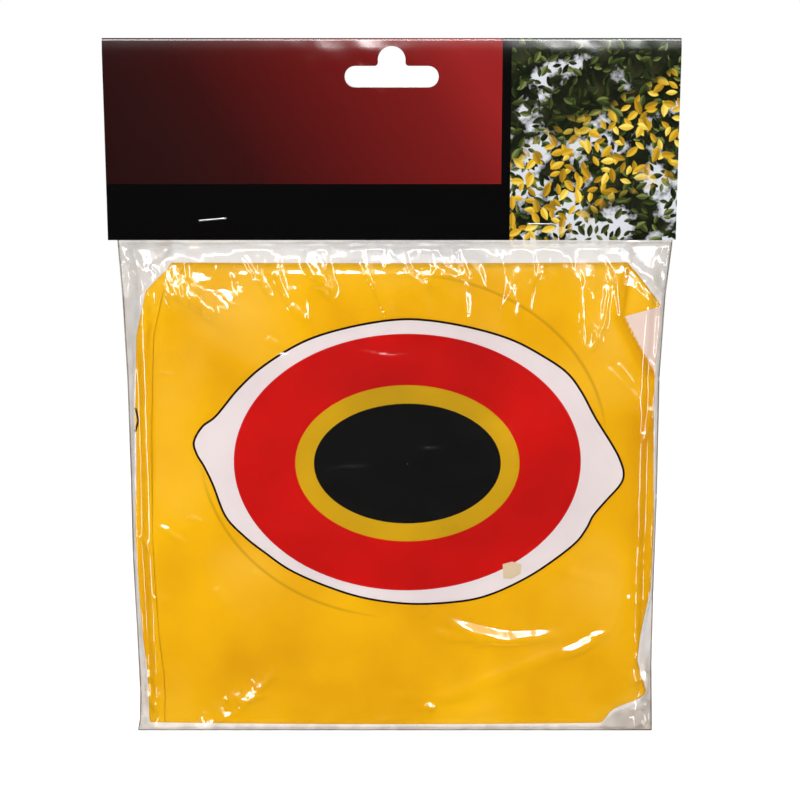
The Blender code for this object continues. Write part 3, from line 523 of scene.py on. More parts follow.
@dataclass
class Studio:
    """Camera, lights, world and floor: a white sweep, lit from above and in front."""

    aim: Vector = field(default_factory=lambda: Vector((3.65, 0.0, -158.8)) * MM)
    distance: float = 880.0 * MM
    elevation: float = 12.0
    lens: float = 86.9
    floor_z: float = -580.0 * MM
    floor_half: float = 6.0
    floor_glow: float = 0.55
    ambient: float = 0.5
    ceiling: tuple[float, float, float, float] = (0.2, 0.95, 0.006, 0.24)
    wall_behind: tuple[float, float, float, float] = (0.72, 0.95, 0.0, 0.85)
    lights: tuple[SoftBox, ...] = (
        SoftBox("key", -14.0, 40.0, 1.5, (1.3, 0.8), 3.95),
        SoftBox("tubes", -6.0, 33.0, 1.4, (1.1, 0.2), 40.0, True),
        SoftBox("bank", -8.0, 41.0, 1.45, (2.3, 1.05), 1.8, True),
        SoftBox("left_strip", -52.0, 8.0, 1.3, (0.16, 1.5), 11.0, True),
        SoftBox("right_strip", 50.0, 10.0, 1.3, (0.16, 1.5), 11.0, True),
        SoftBox("left_fill", -50.0, 20.0, 1.8, (0.8, 0.8), 0.9),
        SoftBox("right_fill", 48.0, 25.0, 1.8, (0.8, 0.8), 0.7),
        SoftBox("rear_fill", 170.0, 40.0, 1.6, (0.8, 0.8), 1.4),
    )

    def build(self) -> None:
        """Make the camera, the world, the floor and the lights."""
        self.camera()
        self.world()
        self.floor()
        for box in self.lights:
            self.light(box)

    def from_angles(self, azimuth: float, elevation: float, distance: float) -> Vector:
        """Place at a distance from the aim, in degrees round to the right and above the horizon."""
        a, e = math.radians(azimuth), math.radians(elevation)
        level = math.cos(e)
        return self.aim + Vector((math.sin(a) * level, -math.cos(a) * level, math.sin(e))) * distance

    def camera(self) -> None:
        """Make the camera at the photograph's viewing angle."""
        data = bpy.data.cameras.new("camera")
        data.lens, data.sensor_width = self.lens, 36.0
        data.clip_start, data.clip_end = 0.02, 60.0
        cam = new_object("camera", data)
        cam.location = self.from_angles(0.0, self.elevation, self.distance)
        cam.rotation_euler = (math.radians(90.0 - self.elevation), 0.0, 0.0)
        bpy.context.scene.camera = cam
        bpy.context.scene.view_settings.view_transform = "Standard"

    def world(self) -> None:
        """Make a white world that gives reflections a darker, graded room."""
        world = bpy.data.worlds.new("studio")
        bpy.context.scene.world = world
        world.use_nodes = True
        tree = world.node_tree
        tree.nodes.clear()
        node = partial(add_node, tree)
        place = node("TexCoord")
        parts = node("SeparateXYZ", {0: place.outputs["Generated"]})
        room, behind = (
            node("MapRange", {
                "Value": parts.outputs[axis], "From Min": low, "From Max": high, "To Min": dark,
                "To Max": bright})
            for axis, (low, high, dark, bright) in (("Z", self.ceiling), ("Y", self.wall_behind)))
        room = node("Math", {0: room, 1: behind}, operation="MAXIMUM")
        rays = node("LightPath").outputs
        soft = node("Mix", {0: rays["Is Glossy Ray"], 2: self.ambient, 3: room})
        seen = node("Mix", {0: rays["Is Camera Ray"], 2: soft, 3: 1.0})
        glow = node("Background", {"Color": linear("#FFFFFF"), "Strength": seen})
        node("OutputWorld", {0: glow})

    def floor(self) -> None:
        """Make the pale floor, well below the hanging pack."""
        paper, tree, _ = start_finish("matt white background paper")
        set_inputs(tree, tree.nodes[SHADER], {
            "Base Color": linear("#F8F8F8"), "Roughness": 0.9, "Emission Color": linear("#FFFFFF"),
            "Emission Strength": self.floor_glow})
        corners = [(x * self.floor_half, y * self.floor_half, self.floor_z)
                   for x, y in ((-1, -1), (1, -1), (1, 1), (-1, 1))]
        obj = make_piece("floor", np.array(corners), [(0, 1, 2, 3)], paper)
        obj.visible_glossy = False

    def light(self, box: SoftBox) -> None:
        """Make one soft box that faces the pack.

        Args:
            box: What the light is.
        """
        data = bpy.data.lights.new(box.name, "AREA")
        data.shape = "RECTANGLE"
        data.size, data.size_y = box.size
        data.energy = box.radiance * math.pi * box.size[0] * box.size[1]
        lamp = new_object(box.name, data)
        lamp.visible_diffuse = not box.shine_only
        lamp.location = self.from_angles(box.azimuth, box.elevation, box.distance)
        lamp.rotation_euler = (self.aim - lamp.location).to_track_quat("-Z", "Y").to_euler()


# Finishes


@dataclass(frozen=True)
class LeafLayer:
    """One layer of leaves in the printed picture: spacing in millimetres, shift, and colours."""

    size: float
    shift: float
    stops: Stops
    on_bough: bool


GREENS = ((0.0, "#11170A"), (0.4, "#222C12"), (0.75, "#3F491F"), (1.0, "#6F7840"))
GOLDS = ((0.0, "#8E6C10"), (0.35, "#BC9019"), (0.7, "#D6AF2C"), (1.0, "#E8D064"))


@dataclass(frozen=True)
class PrintedCard:
    """Coated cardboard, offset printed and varnished: flat ink under a hard, slightly uneven gloss."""

    reds: Stops = (
        (0.0, "#210908"), (0.17, "#280B0B"), (0.32, "#330A0A"), (0.55, "#520D0C"), (0.85, "#6F1312"),
        (1.0, "#8A1A19"))
    red_slant: float = 0.66
    red_from: float = -159.0 * MM
    red_to: float = 29.0 * MM
    black: str = "#050404"
    sky: str = "#C6C9CE"
    gloom: Stops = ((0.3, "#080906"), (0.5, "#171B0E"), (0.7, "#34361F"))
    band_top: float = -60.4 * MM
    panel_left: float = 52.6 * MM
    strip_left: float = 48.6 * MM
    bough_way: tuple[float, float, float] = (-0.5, 0.866, 0.0)
    bough_at: float = -72.0 * MM
    bough_sway: float = 30.0 * MM
    bough_half: Pair = (22.0 * MM, 14.0 * MM)
    layers: tuple[LeafLayer, ...] = (
        LeafLayer(4.4, 3.0, GREENS, False), LeafLayer(6.2, 8.0, GREENS, False),
        LeafLayer(5.6, 15.0, GOLDS, True), LeafLayer(7.4, 21.0, GOLDS, True))

    def make(self) -> Material:
        """Build the material of the printed outside."""
        mat, tree, place = start_finish("varnished printed cardboard")
        node = partial(add_node, tree)
        x, y, z = node("SeparateXYZ", {0: place}).outputs
        right = node("Math", {0: x, 1: self.panel_left}, operation="GREATER_THAN")
        front = node("Math", {0: y, 1: 0.0}, operation="LESS_THAN")
        on_picture = node("Math", {0: right, 1: front}, operation="MULTIPLY")
        colour = node("Mix", {
            0: on_picture, 6: self.colour_field(tree, x, z), 7: self.leaves(tree, x, z)}, data_type="RGBA")
        wave = node("TexNoise", {"Vector": place, "Scale": 55.0, "Detail": 2.0})
        bump = node("Bump", {"Strength": 0.12, "Distance": 0.5 * MM, "Height": wave})
        set_inputs(tree, tree.nodes[SHADER], {
            "Base Color": colour.outputs[2], "Roughness": 0.16, "Specular IOR Level": 0.5, "Normal": bump})
        return mat

    @staticmethod
    def board() -> Material:
        """Build the material of the bare inside."""
        mat, tree, place = start_finish("uncoated grey board")
        grain = add_node(tree, "TexNoise", {"Vector": place, "Scale": 900.0, "Detail": 3.0})
        tone = add_node(tree, "ValToRGB", {0: grain})
        fill_ramp(tone, ((0.0, "#C9C4BB"), (1.0, "#DEDAD2")))
        set_inputs(tree, tree.nodes[SHADER], {"Base Color": tone, "Roughness": 0.85})
        return mat

    def colour_field(self, tree: Tree, x: Socket, z: Socket) -> Socket:
        """Plain colour fields: dark to red across the top, black below and in a strip.

        Args:
            tree: The material's tree.
            x: Place across.
            z: Height.

        Returns:
            The colour.
        """
        node = partial(add_node, tree)
        slant = node("Math", {0: z, 1: self.red_slant, 2: x}, operation="MULTIPLY_ADD")
        across = node("MapRange", {"Value": slant, "From Min": self.red_from, "From Max": self.red_to})
        ramp = node("ValToRGB", {0: across})
        fill_ramp(ramp, self.reds)
        below = node("Math", {0: z, 1: self.band_top}, operation="LESS_THAN")
        strip = node("Math", {0: x, 1: self.strip_left}, operation="GREATER_THAN")
        dark = node("Math", {0: below, 1: strip}, operation="MAXIMUM")
        mixed = node("Mix", {0: dark, 6: ramp, 7: linear(self.black)}, data_type="RGBA")
        return mixed.outputs[2]

    def leaves(self, tree: Tree, x: Socket, z: Socket) -> Socket:
        """A generic leafy picture: dark foliage, gaps of pale sky, and a bough of yellow leaves.

        Args:
            tree: The material's tree.
            x: Place across.
            z: Height.

        Returns:
            The colour.
        """
        node = partial(add_node, tree)
        flat = node("CombineXYZ", {0: x, 1: z})
        gloom, gaps = (node("TexNoise", {
            "Vector": flat, "Scale": scale, "Detail": detail, "Roughness": 0.6})
                       for scale, detail in ((60.0, 4.0), (42.0, 6.0)))
        shade = node("ValToRGB", {0: gloom})
        fill_ramp(shade, self.gloom)
        low = node("MapRange", {
            "Value": z, "From Min": -0.005, "From Max": -0.085, "To Min": -0.04, "To Max": 0.08})
        open_at = node("Math", {0: gaps, 1: low})
        gap = node("MapRange", {"Value": open_at, "From Min": 0.535, "From Max": 0.6})
        ground = node("Mix", {0: gap, 6: shade, 7: linear(self.sky)}, data_type="RGBA")
        way = node("VectorMath", {0: flat, 1: self.bough_way}, operation="DOT_PRODUCT")
        sway = node("TexNoise", {"Vector": flat, "Scale": 30.0, "Detail": 1.0})
        sway = node("Math", {0: sway, 1: self.bough_sway, 2: way.outputs["Value"]}, operation="MULTIPLY_ADD")
        off = node("Math", {0: sway, 1: self.bough_at}, operation="SUBTRACT")
        off = node("Math", {0: off}, operation="ABSOLUTE")
        bough = node("MapRange", {
            "Value": off, "From Min": self.bough_half[0], "From Max": self.bough_half[1]})
        colour = ground.outputs[2]
        for layer in self.layers:
            colour = self.leaf_layer(tree, flat, colour, layer, bough)
        return colour

    @staticmethod
    def leaf_layer(tree: Tree, flat: Node, under: Socket, layer: LeafLayer, bough: Node) -> Socket:
        """Scatter pointed leaves over a colour, each turned its own way, with a lit and a shaded half.

        Args:
            tree: The material's tree.
            flat: Place on the card.
            under: The colour below the leaves.
            layer: Their spacing and colours.
            bough: Where the leaves of a bough may be.

        Returns:
            The colour.
        """
        packed, shift = 1.0 / (layer.size * MM), layer.shift
        node = partial(add_node, tree)
        moved = node("VectorMath", {
            0: flat, 1: (packed, packed, 0.0), 2: (shift, 1.7 * shift, 0.0)}, operation="MULTIPLY_ADD")
        cells = node("TexVoronoi", {"Vector": moved, "Scale": 1.0}, voronoi_dimensions="2D")
        random = node("SeparateColor", {0: cells.outputs["Color"]}).outputs
        local = node("VectorMath", {0: moved, 1: cells.outputs["Position"]}, operation="SUBTRACT")
        angle = node("Math", {0: random[0], 1: math.tau}, operation="MULTIPLY")
        turned = node("VectorRotate", {"Vector": local, "Angle": angle}, rotation_type="Z_AXIS")
        along, beside, _ = node("SeparateXYZ", {0: turned}).outputs
        square = node("Math", {0: along, 1: along}, operation="MULTIPLY")
        width = node("Math", {0: square, 1: -0.95, 2: 0.21}, operation="MULTIPLY_ADD")
        side = node("Math", {0: beside}, operation="ABSOLUTE")
        inside = node("Math", {0: width, 1: side}, operation="SUBTRACT")
        mask = node("MapRange", {"Value": inside, "From Min": -0.02, "From Max": 0.03})
        if layer.on_bough:
            mask = node("Math", {0: mask, 1: bough}, operation="MULTIPLY")
        lit = node("MapRange", {
            "Value": beside, "From Min": -0.03, "From Max": 0.05, "To Min": -0.18, "To Max": 0.12})
        tone = node("Math", {0: random[1], 1: lit})
        ramp = node("ValToRGB", {0: tone})
        fill_ramp(ramp, layer.stops)
        return node("Mix", {0: mask, 6: under, 7: ramp}, data_type="RGBA").outputs[2]


@dataclass(frozen=True)
class ClearFilm:
    """Cast polypropylene film, 30 to 50 micron: clear, with a hard gloss and fine handling scratches."""

    scratch: float = 1.6 * MM
    clear: str = "#FBFAF9"
    # Grey painted in as shade where the film is crumpled
    crumpled: str = "#DAD4CE"
    turn_power: float = 1.6
    gloss: Pair = (0.08, 0.55)
    roughness: Pair = (0.08, 0.22)
    soft_share: float = 0.22

    def make(self) -> Material:
        """Build the material: see-through, with more gloss where the film turns away, greyed by painted
        shade where crumpled.
        """
        mat, tree, place = start_finish("clear polypropylene film", empty=True)
        node = partial(add_node, tree)
        fine = node("TexNoise", {
            "Vector": place, "Scale": 1.0 / self.scratch, "Detail": 3.0, "Roughness": 0.6})
        bump = node("Bump", {"Strength": 0.25, "Distance": 0.15 * MM, "Height": fine})
        facing = node("LayerWeight", {"Blend": 0.5, "Normal": bump})
        steep = node("Math", {0: facing.outputs["Facing"], 1: self.turn_power}, operation="POWER")
        share = node("MapRange", {"Value": steep, "To Min": self.gloss[0], "To Max": self.gloss[1]})
        # Painted shade: grey where the film is crumpled, beside the stack, at its foot and near the card
        painted_crumple_shade = node("Attribute", attribute_name="painted_crumple_shade")
        grey = node("Mix", {
            0: painted_crumple_shade.outputs["Fac"], 6: linear(self.clear), 7: linear(self.crumpled)}, data_type="RGBA")
        clear = node("BsdfTransparent", {"Color": grey.outputs[2]})
        sharp, soft = (node("BsdfAnisotropic", {
            "Color": linear("#FFFFFF"), "Roughness": rough, "Normal": bump})
                       for rough in self.roughness)
        shine = node("MixShader", {0: self.soft_share, 1: sharp, 2: soft})
        film = node("MixShader", {0: share, 1: clear, 2: shine})
        node("OutputMaterial", {0: film})
        return mat


@dataclass(frozen=True)
class MeltedFilm:
    """Hot-knife weld of the film: melted to a narrow milky bead that draws the bag's edge as a grey line."""

    clear: str = "#D6D3CF"
    milk: str = "#C4BFB9"
    milky: Pair = (0.08, 0.3)

    def make(self) -> Material:
        """Build the material: half see-through, uneven along the weld."""
        mat, tree, place = start_finish("melted polypropylene weld", empty=True)
        node = partial(add_node, tree)
        uneven = node("TexNoise", {"Vector": place, "Scale": 90.0, "Detail": 2.0})
        share = node("MapRange", {
            "Value": uneven, "From Min": 0.35, "From Max": 0.65, "To Min": self.milky[0],
            "To Max": self.milky[1]})
        clear = node("BsdfTransparent", {"Color": linear(self.clear)})
        milk = node("BsdfPrincipled", {"Base Color": linear(self.milk), "Roughness": 0.25})
        bead = node("MixShader", {0: share, 1: clear, 2: milk})
        node("OutputMaterial", {0: bead})
        return mat


@dataclass(frozen=True)
class CalenderedVinyl:
    """Soft PVC sheet, calendered 0.3 mm: even colour, a low satin gloss, fine pebble from the rolls."""

    colour: str
    shade: str
    name: str
    pebble: float = 0.9 * MM
    roughness: float = 0.42
    specular: float = 0.04
    # Colour of the shade painted along the folds, and of the paler tone
    painted_shade: str = ""
    pale: str = ""
    ghost: str = "#6E5A14"
    ghost_share: float = 0.3
    ghost_middle: Pair = (5.0 * MM, -180.0 * MM)
    ghost_half: Pair = (92.5 * MM, 80.0 * MM)
    front_y: float = -4.0 * MM

    def make(self) -> Material:
        """Build the material from its two tones and the rolls' pebble."""
        mat, tree, place = start_finish(self.name)
        node = partial(add_node, tree)
        cloud = node("TexNoise", {"Vector": place, "Scale": 16.0, "Detail": 3.0})
        tone = node("ValToRGB", {0: cloud})
        fill_ramp(tone, ((0.3, self.shade), (0.7, self.colour)))
        colour = self.folded(tree, place, tone.outputs[0]) if self.painted_shade else tone
        grain = node("TexNoise", {"Vector": place, "Scale": 1.0 / self.pebble, "Detail": 2.0})
        bump = node("Bump", {"Strength": 0.15, "Distance": 0.1 * MM, "Height": grain})
        set_inputs(tree, tree.nodes[SHADER], {
            "Base Color": colour, "Roughness": self.roughness, "Specular IOR Level": self.specular,
            "Normal": bump})
        return mat

    def folded(self, tree: Tree, place: Socket, colour: Socket) -> Socket:
        """Tones of the folded sheet: painted shade, deeper where layers would shade each other, a paler
        tone towards the upper left, and the outline of the print on the sheet behind, which shows through.

        Args:
            tree: The material's tree.
            place: Place on the pack.
            colour: The plain colour.

        Returns:
            The colour.
        """
        node = partial(add_node, tree)
        # Painted shade from the gore's attribute: above zero deepens the colour, below zero pales it
        given = node("Attribute", attribute_name="painted_shade_tone").outputs["Fac"]
        below = node("Math", {0: given, 1: 0.0}, operation="MAXIMUM")
        above = node("Math", {0: given, 1: -1.0}, operation="MULTIPLY")
        parts = node("SeparateXYZ", {0: place}).outputs
        across = []
        for axis, middle, half in zip("XZ", self.ghost_middle, self.ghost_half):
            off = node("Math", {0: parts[axis], 1: middle}, operation="SUBTRACT")
            across.append(node("Math", {0: off, 1: half}, operation="DIVIDE"))
        flat = node("CombineXYZ", dict(enumerate(across)))
        reach = node("VectorMath", {0: flat}, operation="LENGTH")
        off = node("Math", {0: reach.outputs["Value"], 1: 1.0}, operation="SUBTRACT")
        off = node("Math", {0: off}, operation="ABSOLUTE")
        faint = node("MapRange", {"Value": off, "From Min": 0.011, "From Max": 0.003})
        corner = node("Math", dict(enumerate(across)), operation="MULTIPLY")
        quarter = node("MapRange", {"Value": corner, "From Min": 0.1, "From Max": 0.3})
        front = node("Math", {0: parts["Y"], 1: self.front_y}, operation="LESS_THAN")
        for limit in (quarter, front, self.ghost_share):
            faint = node("Math", {0: faint, 1: limit}, operation="MULTIPLY")
        for share, tint in ((below, self.painted_shade), (above, self.pale), (faint, self.ghost)):
            colour = node("Mix", {0: share, 6: colour, 7: linear(tint)}, data_type="RGBA").outputs[2]
        return colour


@dataclass(frozen=True)
class DrawnSteel:
    """Galvanised steel wire, drawn and flattened: bright, with fine lines along the wire."""

    lines: tuple[float, float, float] = (300.0, 4000.0, 4000.0)
    roughness: Pair = (0.22, 0.4)

    def make(self) -> Material:
        """Build the material with its drawing lines."""
        mat, tree, place = start_finish("galvanised drawn steel wire")
        node = partial(add_node, tree)
        lines = node("Mapping", {"Vector": place, "Scale": self.lines})
        streak = node("TexNoise", {"Vector": lines, "Scale": 1.0, "Detail": 2.0})
        tone = node("ValToRGB", {0: streak})
        fill_ramp(tone, ((0.0, "#8E8F92"), (1.0, "#D9DADC")))
        rough = node("MapRange", {"Value": streak, "To Min": self.roughness[0], "To Max": self.roughness[1]})
        set_inputs(tree, tree.nodes[SHADER], {"Base Color": tone, "Metallic": 1.0, "Roughness": rough})
        return mat


# Header card


@dataclass
class HeaderCard:
    """The folded header card with its hang slot and two staples."""

    plan: PackPlan
    sheet: float = 0.4 * MM
    grid: float = 2.6 * MM
    fold_radius: float = 1.05 * MM
    fold_steps: int = 6
    spring: float = 1.5 * MM
    spring_depth: float = 8.5 * MM
    spring_least: float = 0.42
    spring_more: float = 0.24
    spring_uneven: float = 0.3
    springs: Pairs = ((-20.0 * MM, 24.0 * MM), (90.0 * MM, 36.0 * MM))
    wave: float = 0.35 * MM
    wave_starts: Pair = (2.0 * MM, 20.0 * MM)
    wave_ends: Pair = (-26.0 * MM, -14.0 * MM)
    slot_length: float = 41.5 * MM
    slot_height: float = 9.4 * MM
    slot_top: float = 12.0 * MM
    hump_radius: float = 6.1 * MM
    hump_top: float = 3.4 * MM
    fillet: float = 1.5 * MM
    arc_steps: int = 10
    sharp: float = 40.0
    staples: tuple[tuple[str, float, float, float], ...] = (
        ("staple_left", -80.0 * MM, 9.3 * MM, 5.0), ("staple_right", 66.7 * MM, 7.3 * MM, -1.0))
    crown: float = 12.7 * MM
    wire_width: float = 0.7 * MM
    wire_depth: float = 0.5 * MM
    wire_bend: float = 0.8 * MM
    wire_steps: int = 6
    clinch: float = 4.6 * MM
    seat_gap: float = 0.25 * MM

    def build(self) -> None:
        """Build the card and its staples."""
        self.card()
        sweep = wire_sweep(DrawnSteel().make())
        for name, x, rise, tilt in self.staples:
            self.staple(name, x, rise, tilt, sweep)

    @staticmethod
    def arc(centre: Pair, radius: float, start: float, end: float, steps: int) -> list[Pair]:
        """Points on an arc between two angles in degrees, both ends included."""
        angles = [math.radians(start + (end - start) * i / steps) for i in range(steps + 1)]
        return [(centre[0] + radius * math.cos(a), centre[1] + radius * math.sin(a)) for a in angles]

    def slot_outline(self) -> list[Pair]:
        """Outline of the hang slot.

        Returns:
            Place across, and depth below the fold, of each point.
        """
        end_radius = self.slot_height / 2.0
        middle = self.slot_top + end_radius
        end_x = self.slot_length / 2.0 - end_radius
        hump = self.hump_top + self.hump_radius
        fillet_at = self.slot_top - self.fillet
        fillet_x = math.sqrt((self.hump_radius + self.fillet) ** 2 - (hump - fillet_at) ** 2)
        meet = math.degrees(math.atan2(hump - fillet_at, fillet_x))
        n = self.arc_steps
        outline = self.arc((-end_x, -middle), end_radius, 90.0, 270.0, n)
        outline += self.arc((end_x, -middle), end_radius, -90.0, 90.0, n)
        outline += self.arc((fillet_x, -fillet_at), self.fillet, 270.0, 180.0 + meet, n // 2)
        outline += self.arc((0.0, -hump), self.hump_radius, meet, 180.0 - meet, 2 * n)[1:-1]
        outline += self.arc((-fillet_x, -fillet_at), self.fillet, -meet, -90.0, n // 2)
        return [(x, -z) for x, z in outline]

    def fold_up(self, flat: Array) -> Array:
        """Fold the flat sheet: the bend at its top springs open a little, and its foot lies flat.

        Args:
            flat: Place across and along the sheet, below zero on the front panel.

        Returns:
            Points of the sheet's outer face.
        """
        p, r = self.plan, self.fold_radius
        x, along = flat[:, 0], np.abs(flat[:, 1])
        angle = np.clip(along / r, 0.0, math.pi / 2.0)
        down = np.maximum(0.0, along - math.pi * r / 2.0)
        share = down / self.spring_depth
        depth = r * (1.0 - np.cos(angle)) + down
        sprung = sum(np.exp(-((x - at) / wide) ** 2) for at, wide in self.springs)
        uneven = self.spring_uneven * patchwork(x, depth, 6.0, 4.0, 43)
        sprung = self.spring_least + (self.spring_more + uneven) * sprung
        stand = r * np.sin(angle) + self.spring * sprung * share * np.exp(1.0 - share)
        past_foot = depth - (p.fold_z - p.card_foot)
        free = smoothstep(depth, *self.wave_starts) * (1.0 - smoothstep(past_foot, *self.wave_ends))
        panel = np.where(flat[:, 1] < 0.0, 0.0, 5.0)
        wave = value_noise(x / (55.0 * MM) + panel, depth / (50.0 * MM), 17)
        stand = stand + self.wave * free * (1.0 + wave) / 2.0
        return np.column_stack([x, np.sign(flat[:, 1]) * stand, p.fold_z - depth])

    def card(self) -> None:
        """Build the folded card with its slot, printed outside and bare inside."""
        p, r = self.plan, self.fold_radius
        half = (p.card[1].x - p.card[0].x) / 2.0
        bent = math.pi * r / 2.0
        run = p.fold_z - p.card_foot - r + bent
        slots = [[(x, side * (t - r + bent)) for x, t in self.slot_outline()] for side in (-1.0, 1.0)]
        across = np.linspace(-half, half, int(2.0 * half / self.grid))
        bend = np.linspace(0.0, bent, self.fold_steps + 1)[:-1]
        panel = np.concatenate([bend, np.linspace(bent, run, int(run / self.grid))])
        along = np.concatenate([-panel[:0:-1], panel])
        points = [Vector((x, v)) for x in across for v in along if not self.near_slot(x, v, slots)]
        edges = []
        for slot in slots:
            start = len(points)
            points += [Vector(spot) for spot in slot]
            edges += [(start + i, start + (i + 1) % len(slot)) for i in range(len(slot))]
        spots, _, cells, *_ = delaunay_2d_cdt(points, edges, [], 0, 1e-7)
        flat = np.array([list(v) for v in spots])
        faces = [cell for cell in cells
                 if not any(self.inside(flat[list(cell)].mean(axis=0), slot) for slot in slots)]
        solid = make_piece("card_folded", self.fold_up(flat), faces, PrintedCard().make(), self.sharp)
        solid.data.materials.append(PrintedCard.board())
        thick = solid.modifiers.new("board", "SOLIDIFY")
        thick.thickness, thick.offset = self.sheet, -1.0
        thick.material_offset = thick.material_offset_rim = 1
        plain_mesh(solid)
        solid.data.set_sharp_from_angle(angle=math.radians(self.sharp))
        settle(solid, Body.HEADER, Slot.CARD, "header_card")

    @staticmethod
    def inside(spot: Sequence[float], loop: list[Pair]) -> bool:
        """Whether a flat point lies in a closed loop.

        Args:
            spot: The point.
            loop: Corners of the loop.

        Returns:
            True if it lies inside.
        """
        crossings = 0
        for (ax, az), (bx, bz) in zip(loop, loop[1:] + loop[:1]):
            if (az > spot[1]) != (bz > spot[1]) and spot[0] < ax + (spot[1] - az) * (bx - ax) / (bz - az):
                crossings += 1
        return crossings % 2 == 1

    def near_slot(self, x: float, v: float, slots: list[list[Pair]]) -> bool:
        """Whether a grid point lies in a slot or within half a step of its edge.

        Args:
            x: Its place across.
            v: Its place along the sheet.
            slots: Outline of the slot in each panel.

        Returns:
            True if it does.
        """
        if abs(x) > self.slot_length / 2.0 + self.grid:
            return False
        spot = np.array((x, v))
        return any(np.min(np.linalg.norm(np.array(slot) - spot, axis=1)) < self.grid / 2.0
                   or self.inside(spot, slot) for slot in slots)

    def staple(self, name: str, x: float, rise: float, tilt: float, sweep: Tree) -> None:
        """Build one staple by sweeping flat wire along its path.

        Args:
            name: CAD node that it stands for.
            x: Place across of the crown's middle.
            rise: Height above the card's foot.
            tilt: Turn of the crown in degrees.
            sweep: The sweep's node tree.
        """
        front = -self.fold_radius - self.seat_gap - self.wire_depth / 2.0
        leg, bend = self.crown / 2.0 - self.wire_depth / 2.0, self.wire_bend
        right = [(leg - self.clinch, -front)]
        right += self.arc((leg - bend, -front - bend), bend, 90.0, 0.0, self.wire_steps)
        right += self.arc((leg - bend, front + bend), bend, 0.0, -90.0, self.wire_steps)
        path = [(a, b, 0.0) for a, b in right] + [(-a, b, 0.0) for a, b in reversed(right)]
        wire = sweep_path(f"wire_{name}", path, sweep, {"Width": self.wire_width, "Depth": self.wire_depth})
        place = Matrix.Translation((x, 0.0, self.plan.card_foot + rise))
        wire.data.transform(place @ Matrix.Rotation(-math.radians(tilt), 4, "Y"))
        wire.data.set_sharp_from_angle(angle=math.radians(50.0))
        settle(wire, Body.HEADER, Slot.STAPLE, name)


# Folded ball


class Run(Enum):
    """Stretches of the fold, from the hanger's tip to the valve's tip."""

    HEAD_TAIL = "head tail"
    TOP_FOLD = "top fold"
    FRONT = "front"
    FOOT_FOLD = "foot fold"
    FOOT_TAIL = "foot tail"


@dataclass(frozen=True)
class Crease:
    """One crease in millimetres: a line on the pack's face and the cross-section that it gives the sheet."""

    x0: float
    z0: float
    x1: float
    z1: float
    height: float
    width: float
    profile: Profile = Profile.RIDGE
    bow: float = 0.0
    fade: float = 0.08

    def rise(self, x: Array, z: Array) -> Array:
        """Height of the crease above the sheet.

        Args:
            x: Places across, in metres.
            z: Heights, in metres.

        Returns:
            The rise at each place, in metres.
        """
        a, b = np.array((self.x0, self.z0)) * MM, np.array((self.x1, self.z1)) * MM
        length = math.hypot(*(b - a))
        way = (b - a) / length
        t = ((x - a[0]) * way[0] + (z - a[1]) * way[1]) / length
        off = (x - a[0]) * -way[1] + (z - a[1]) * way[0]
        off = off - self.bow * MM * 4.0 * t * (1.0 - t)
        run = 0.36 if self.profile is Profile.PILLOW else 0.18
        ends = smoothstep(t, -self.fade, run) * (1.0 - smoothstep(t, 1.0 - run, 1.0 + self.fade))
        w = self.width * MM
        if self.profile is Profile.RIDGE:
            shape = np.exp(-(off / w) ** 2)
        elif self.profile is Profile.STEP:
            shape = np.exp(-np.abs(off) / np.where(off > 0.0, w, 3.0 * w))
        else:
            shape = np.clip(1.0 - (off / w) ** 2, 0.0, 1.0) ** 2
        return self.height * MM * ends * shape


def lay_creases(*rows: Sequence) -> tuple[Crease, ...]:
    """Creases from rows of their fields: start and end across and up, height, width and the rest."""
    return tuple(Crease(*row) for row in rows)


@dataclass(frozen=True)
class StackOutline:
    """Outline of the folded stack as it lies in the bag: height and place across, in millimetres."""

    left: Pairs = (
        (-95.0, -98.6), (-98.0, -100.3), (-107.9, -110.6), (-112.0, -111.2), (-127.8, -115.1),
        (-167.0, -116.9), (-220.5, -118.2), (-246.1, -117.5), (-270.1, -116.2), (-288.4, -114.4),
        (-313.5, -114.3), (-316.0, -114.0))
    right: Pairs = (
        (-95.0, 106.0), (-97.0, 107.5), (-114.7, 121.2), (-146.6, 119.4), (-163.8, 119.1),
        (-216.1, 120.6), (-247.5, 120.0), (-270.1, 115.8), (-283.0, 114.6), (-297.9, 119.3),
        (-300.9, 117.6), (-306.0, 104.2), (-313.0, 98.2), (-316.0, 97.0))
    rounding: float = 1.4 * MM

    def edges(self, z: Array) -> tuple[Array, Array]:
        """Left and right edge of the stack at each height, its corners rounded.

        Args:
            z: Heights, in metres.

        Returns:
            The places of the two edges, in metres.
        """
        spread = np.linspace(-1.0, 1.0, 5) * self.rounding
        left, right = (np.mean([along_outline(points, (z + s) / MM) * MM for s in spread], axis=0)
                       for points in (self.left, self.right))
        return left, right


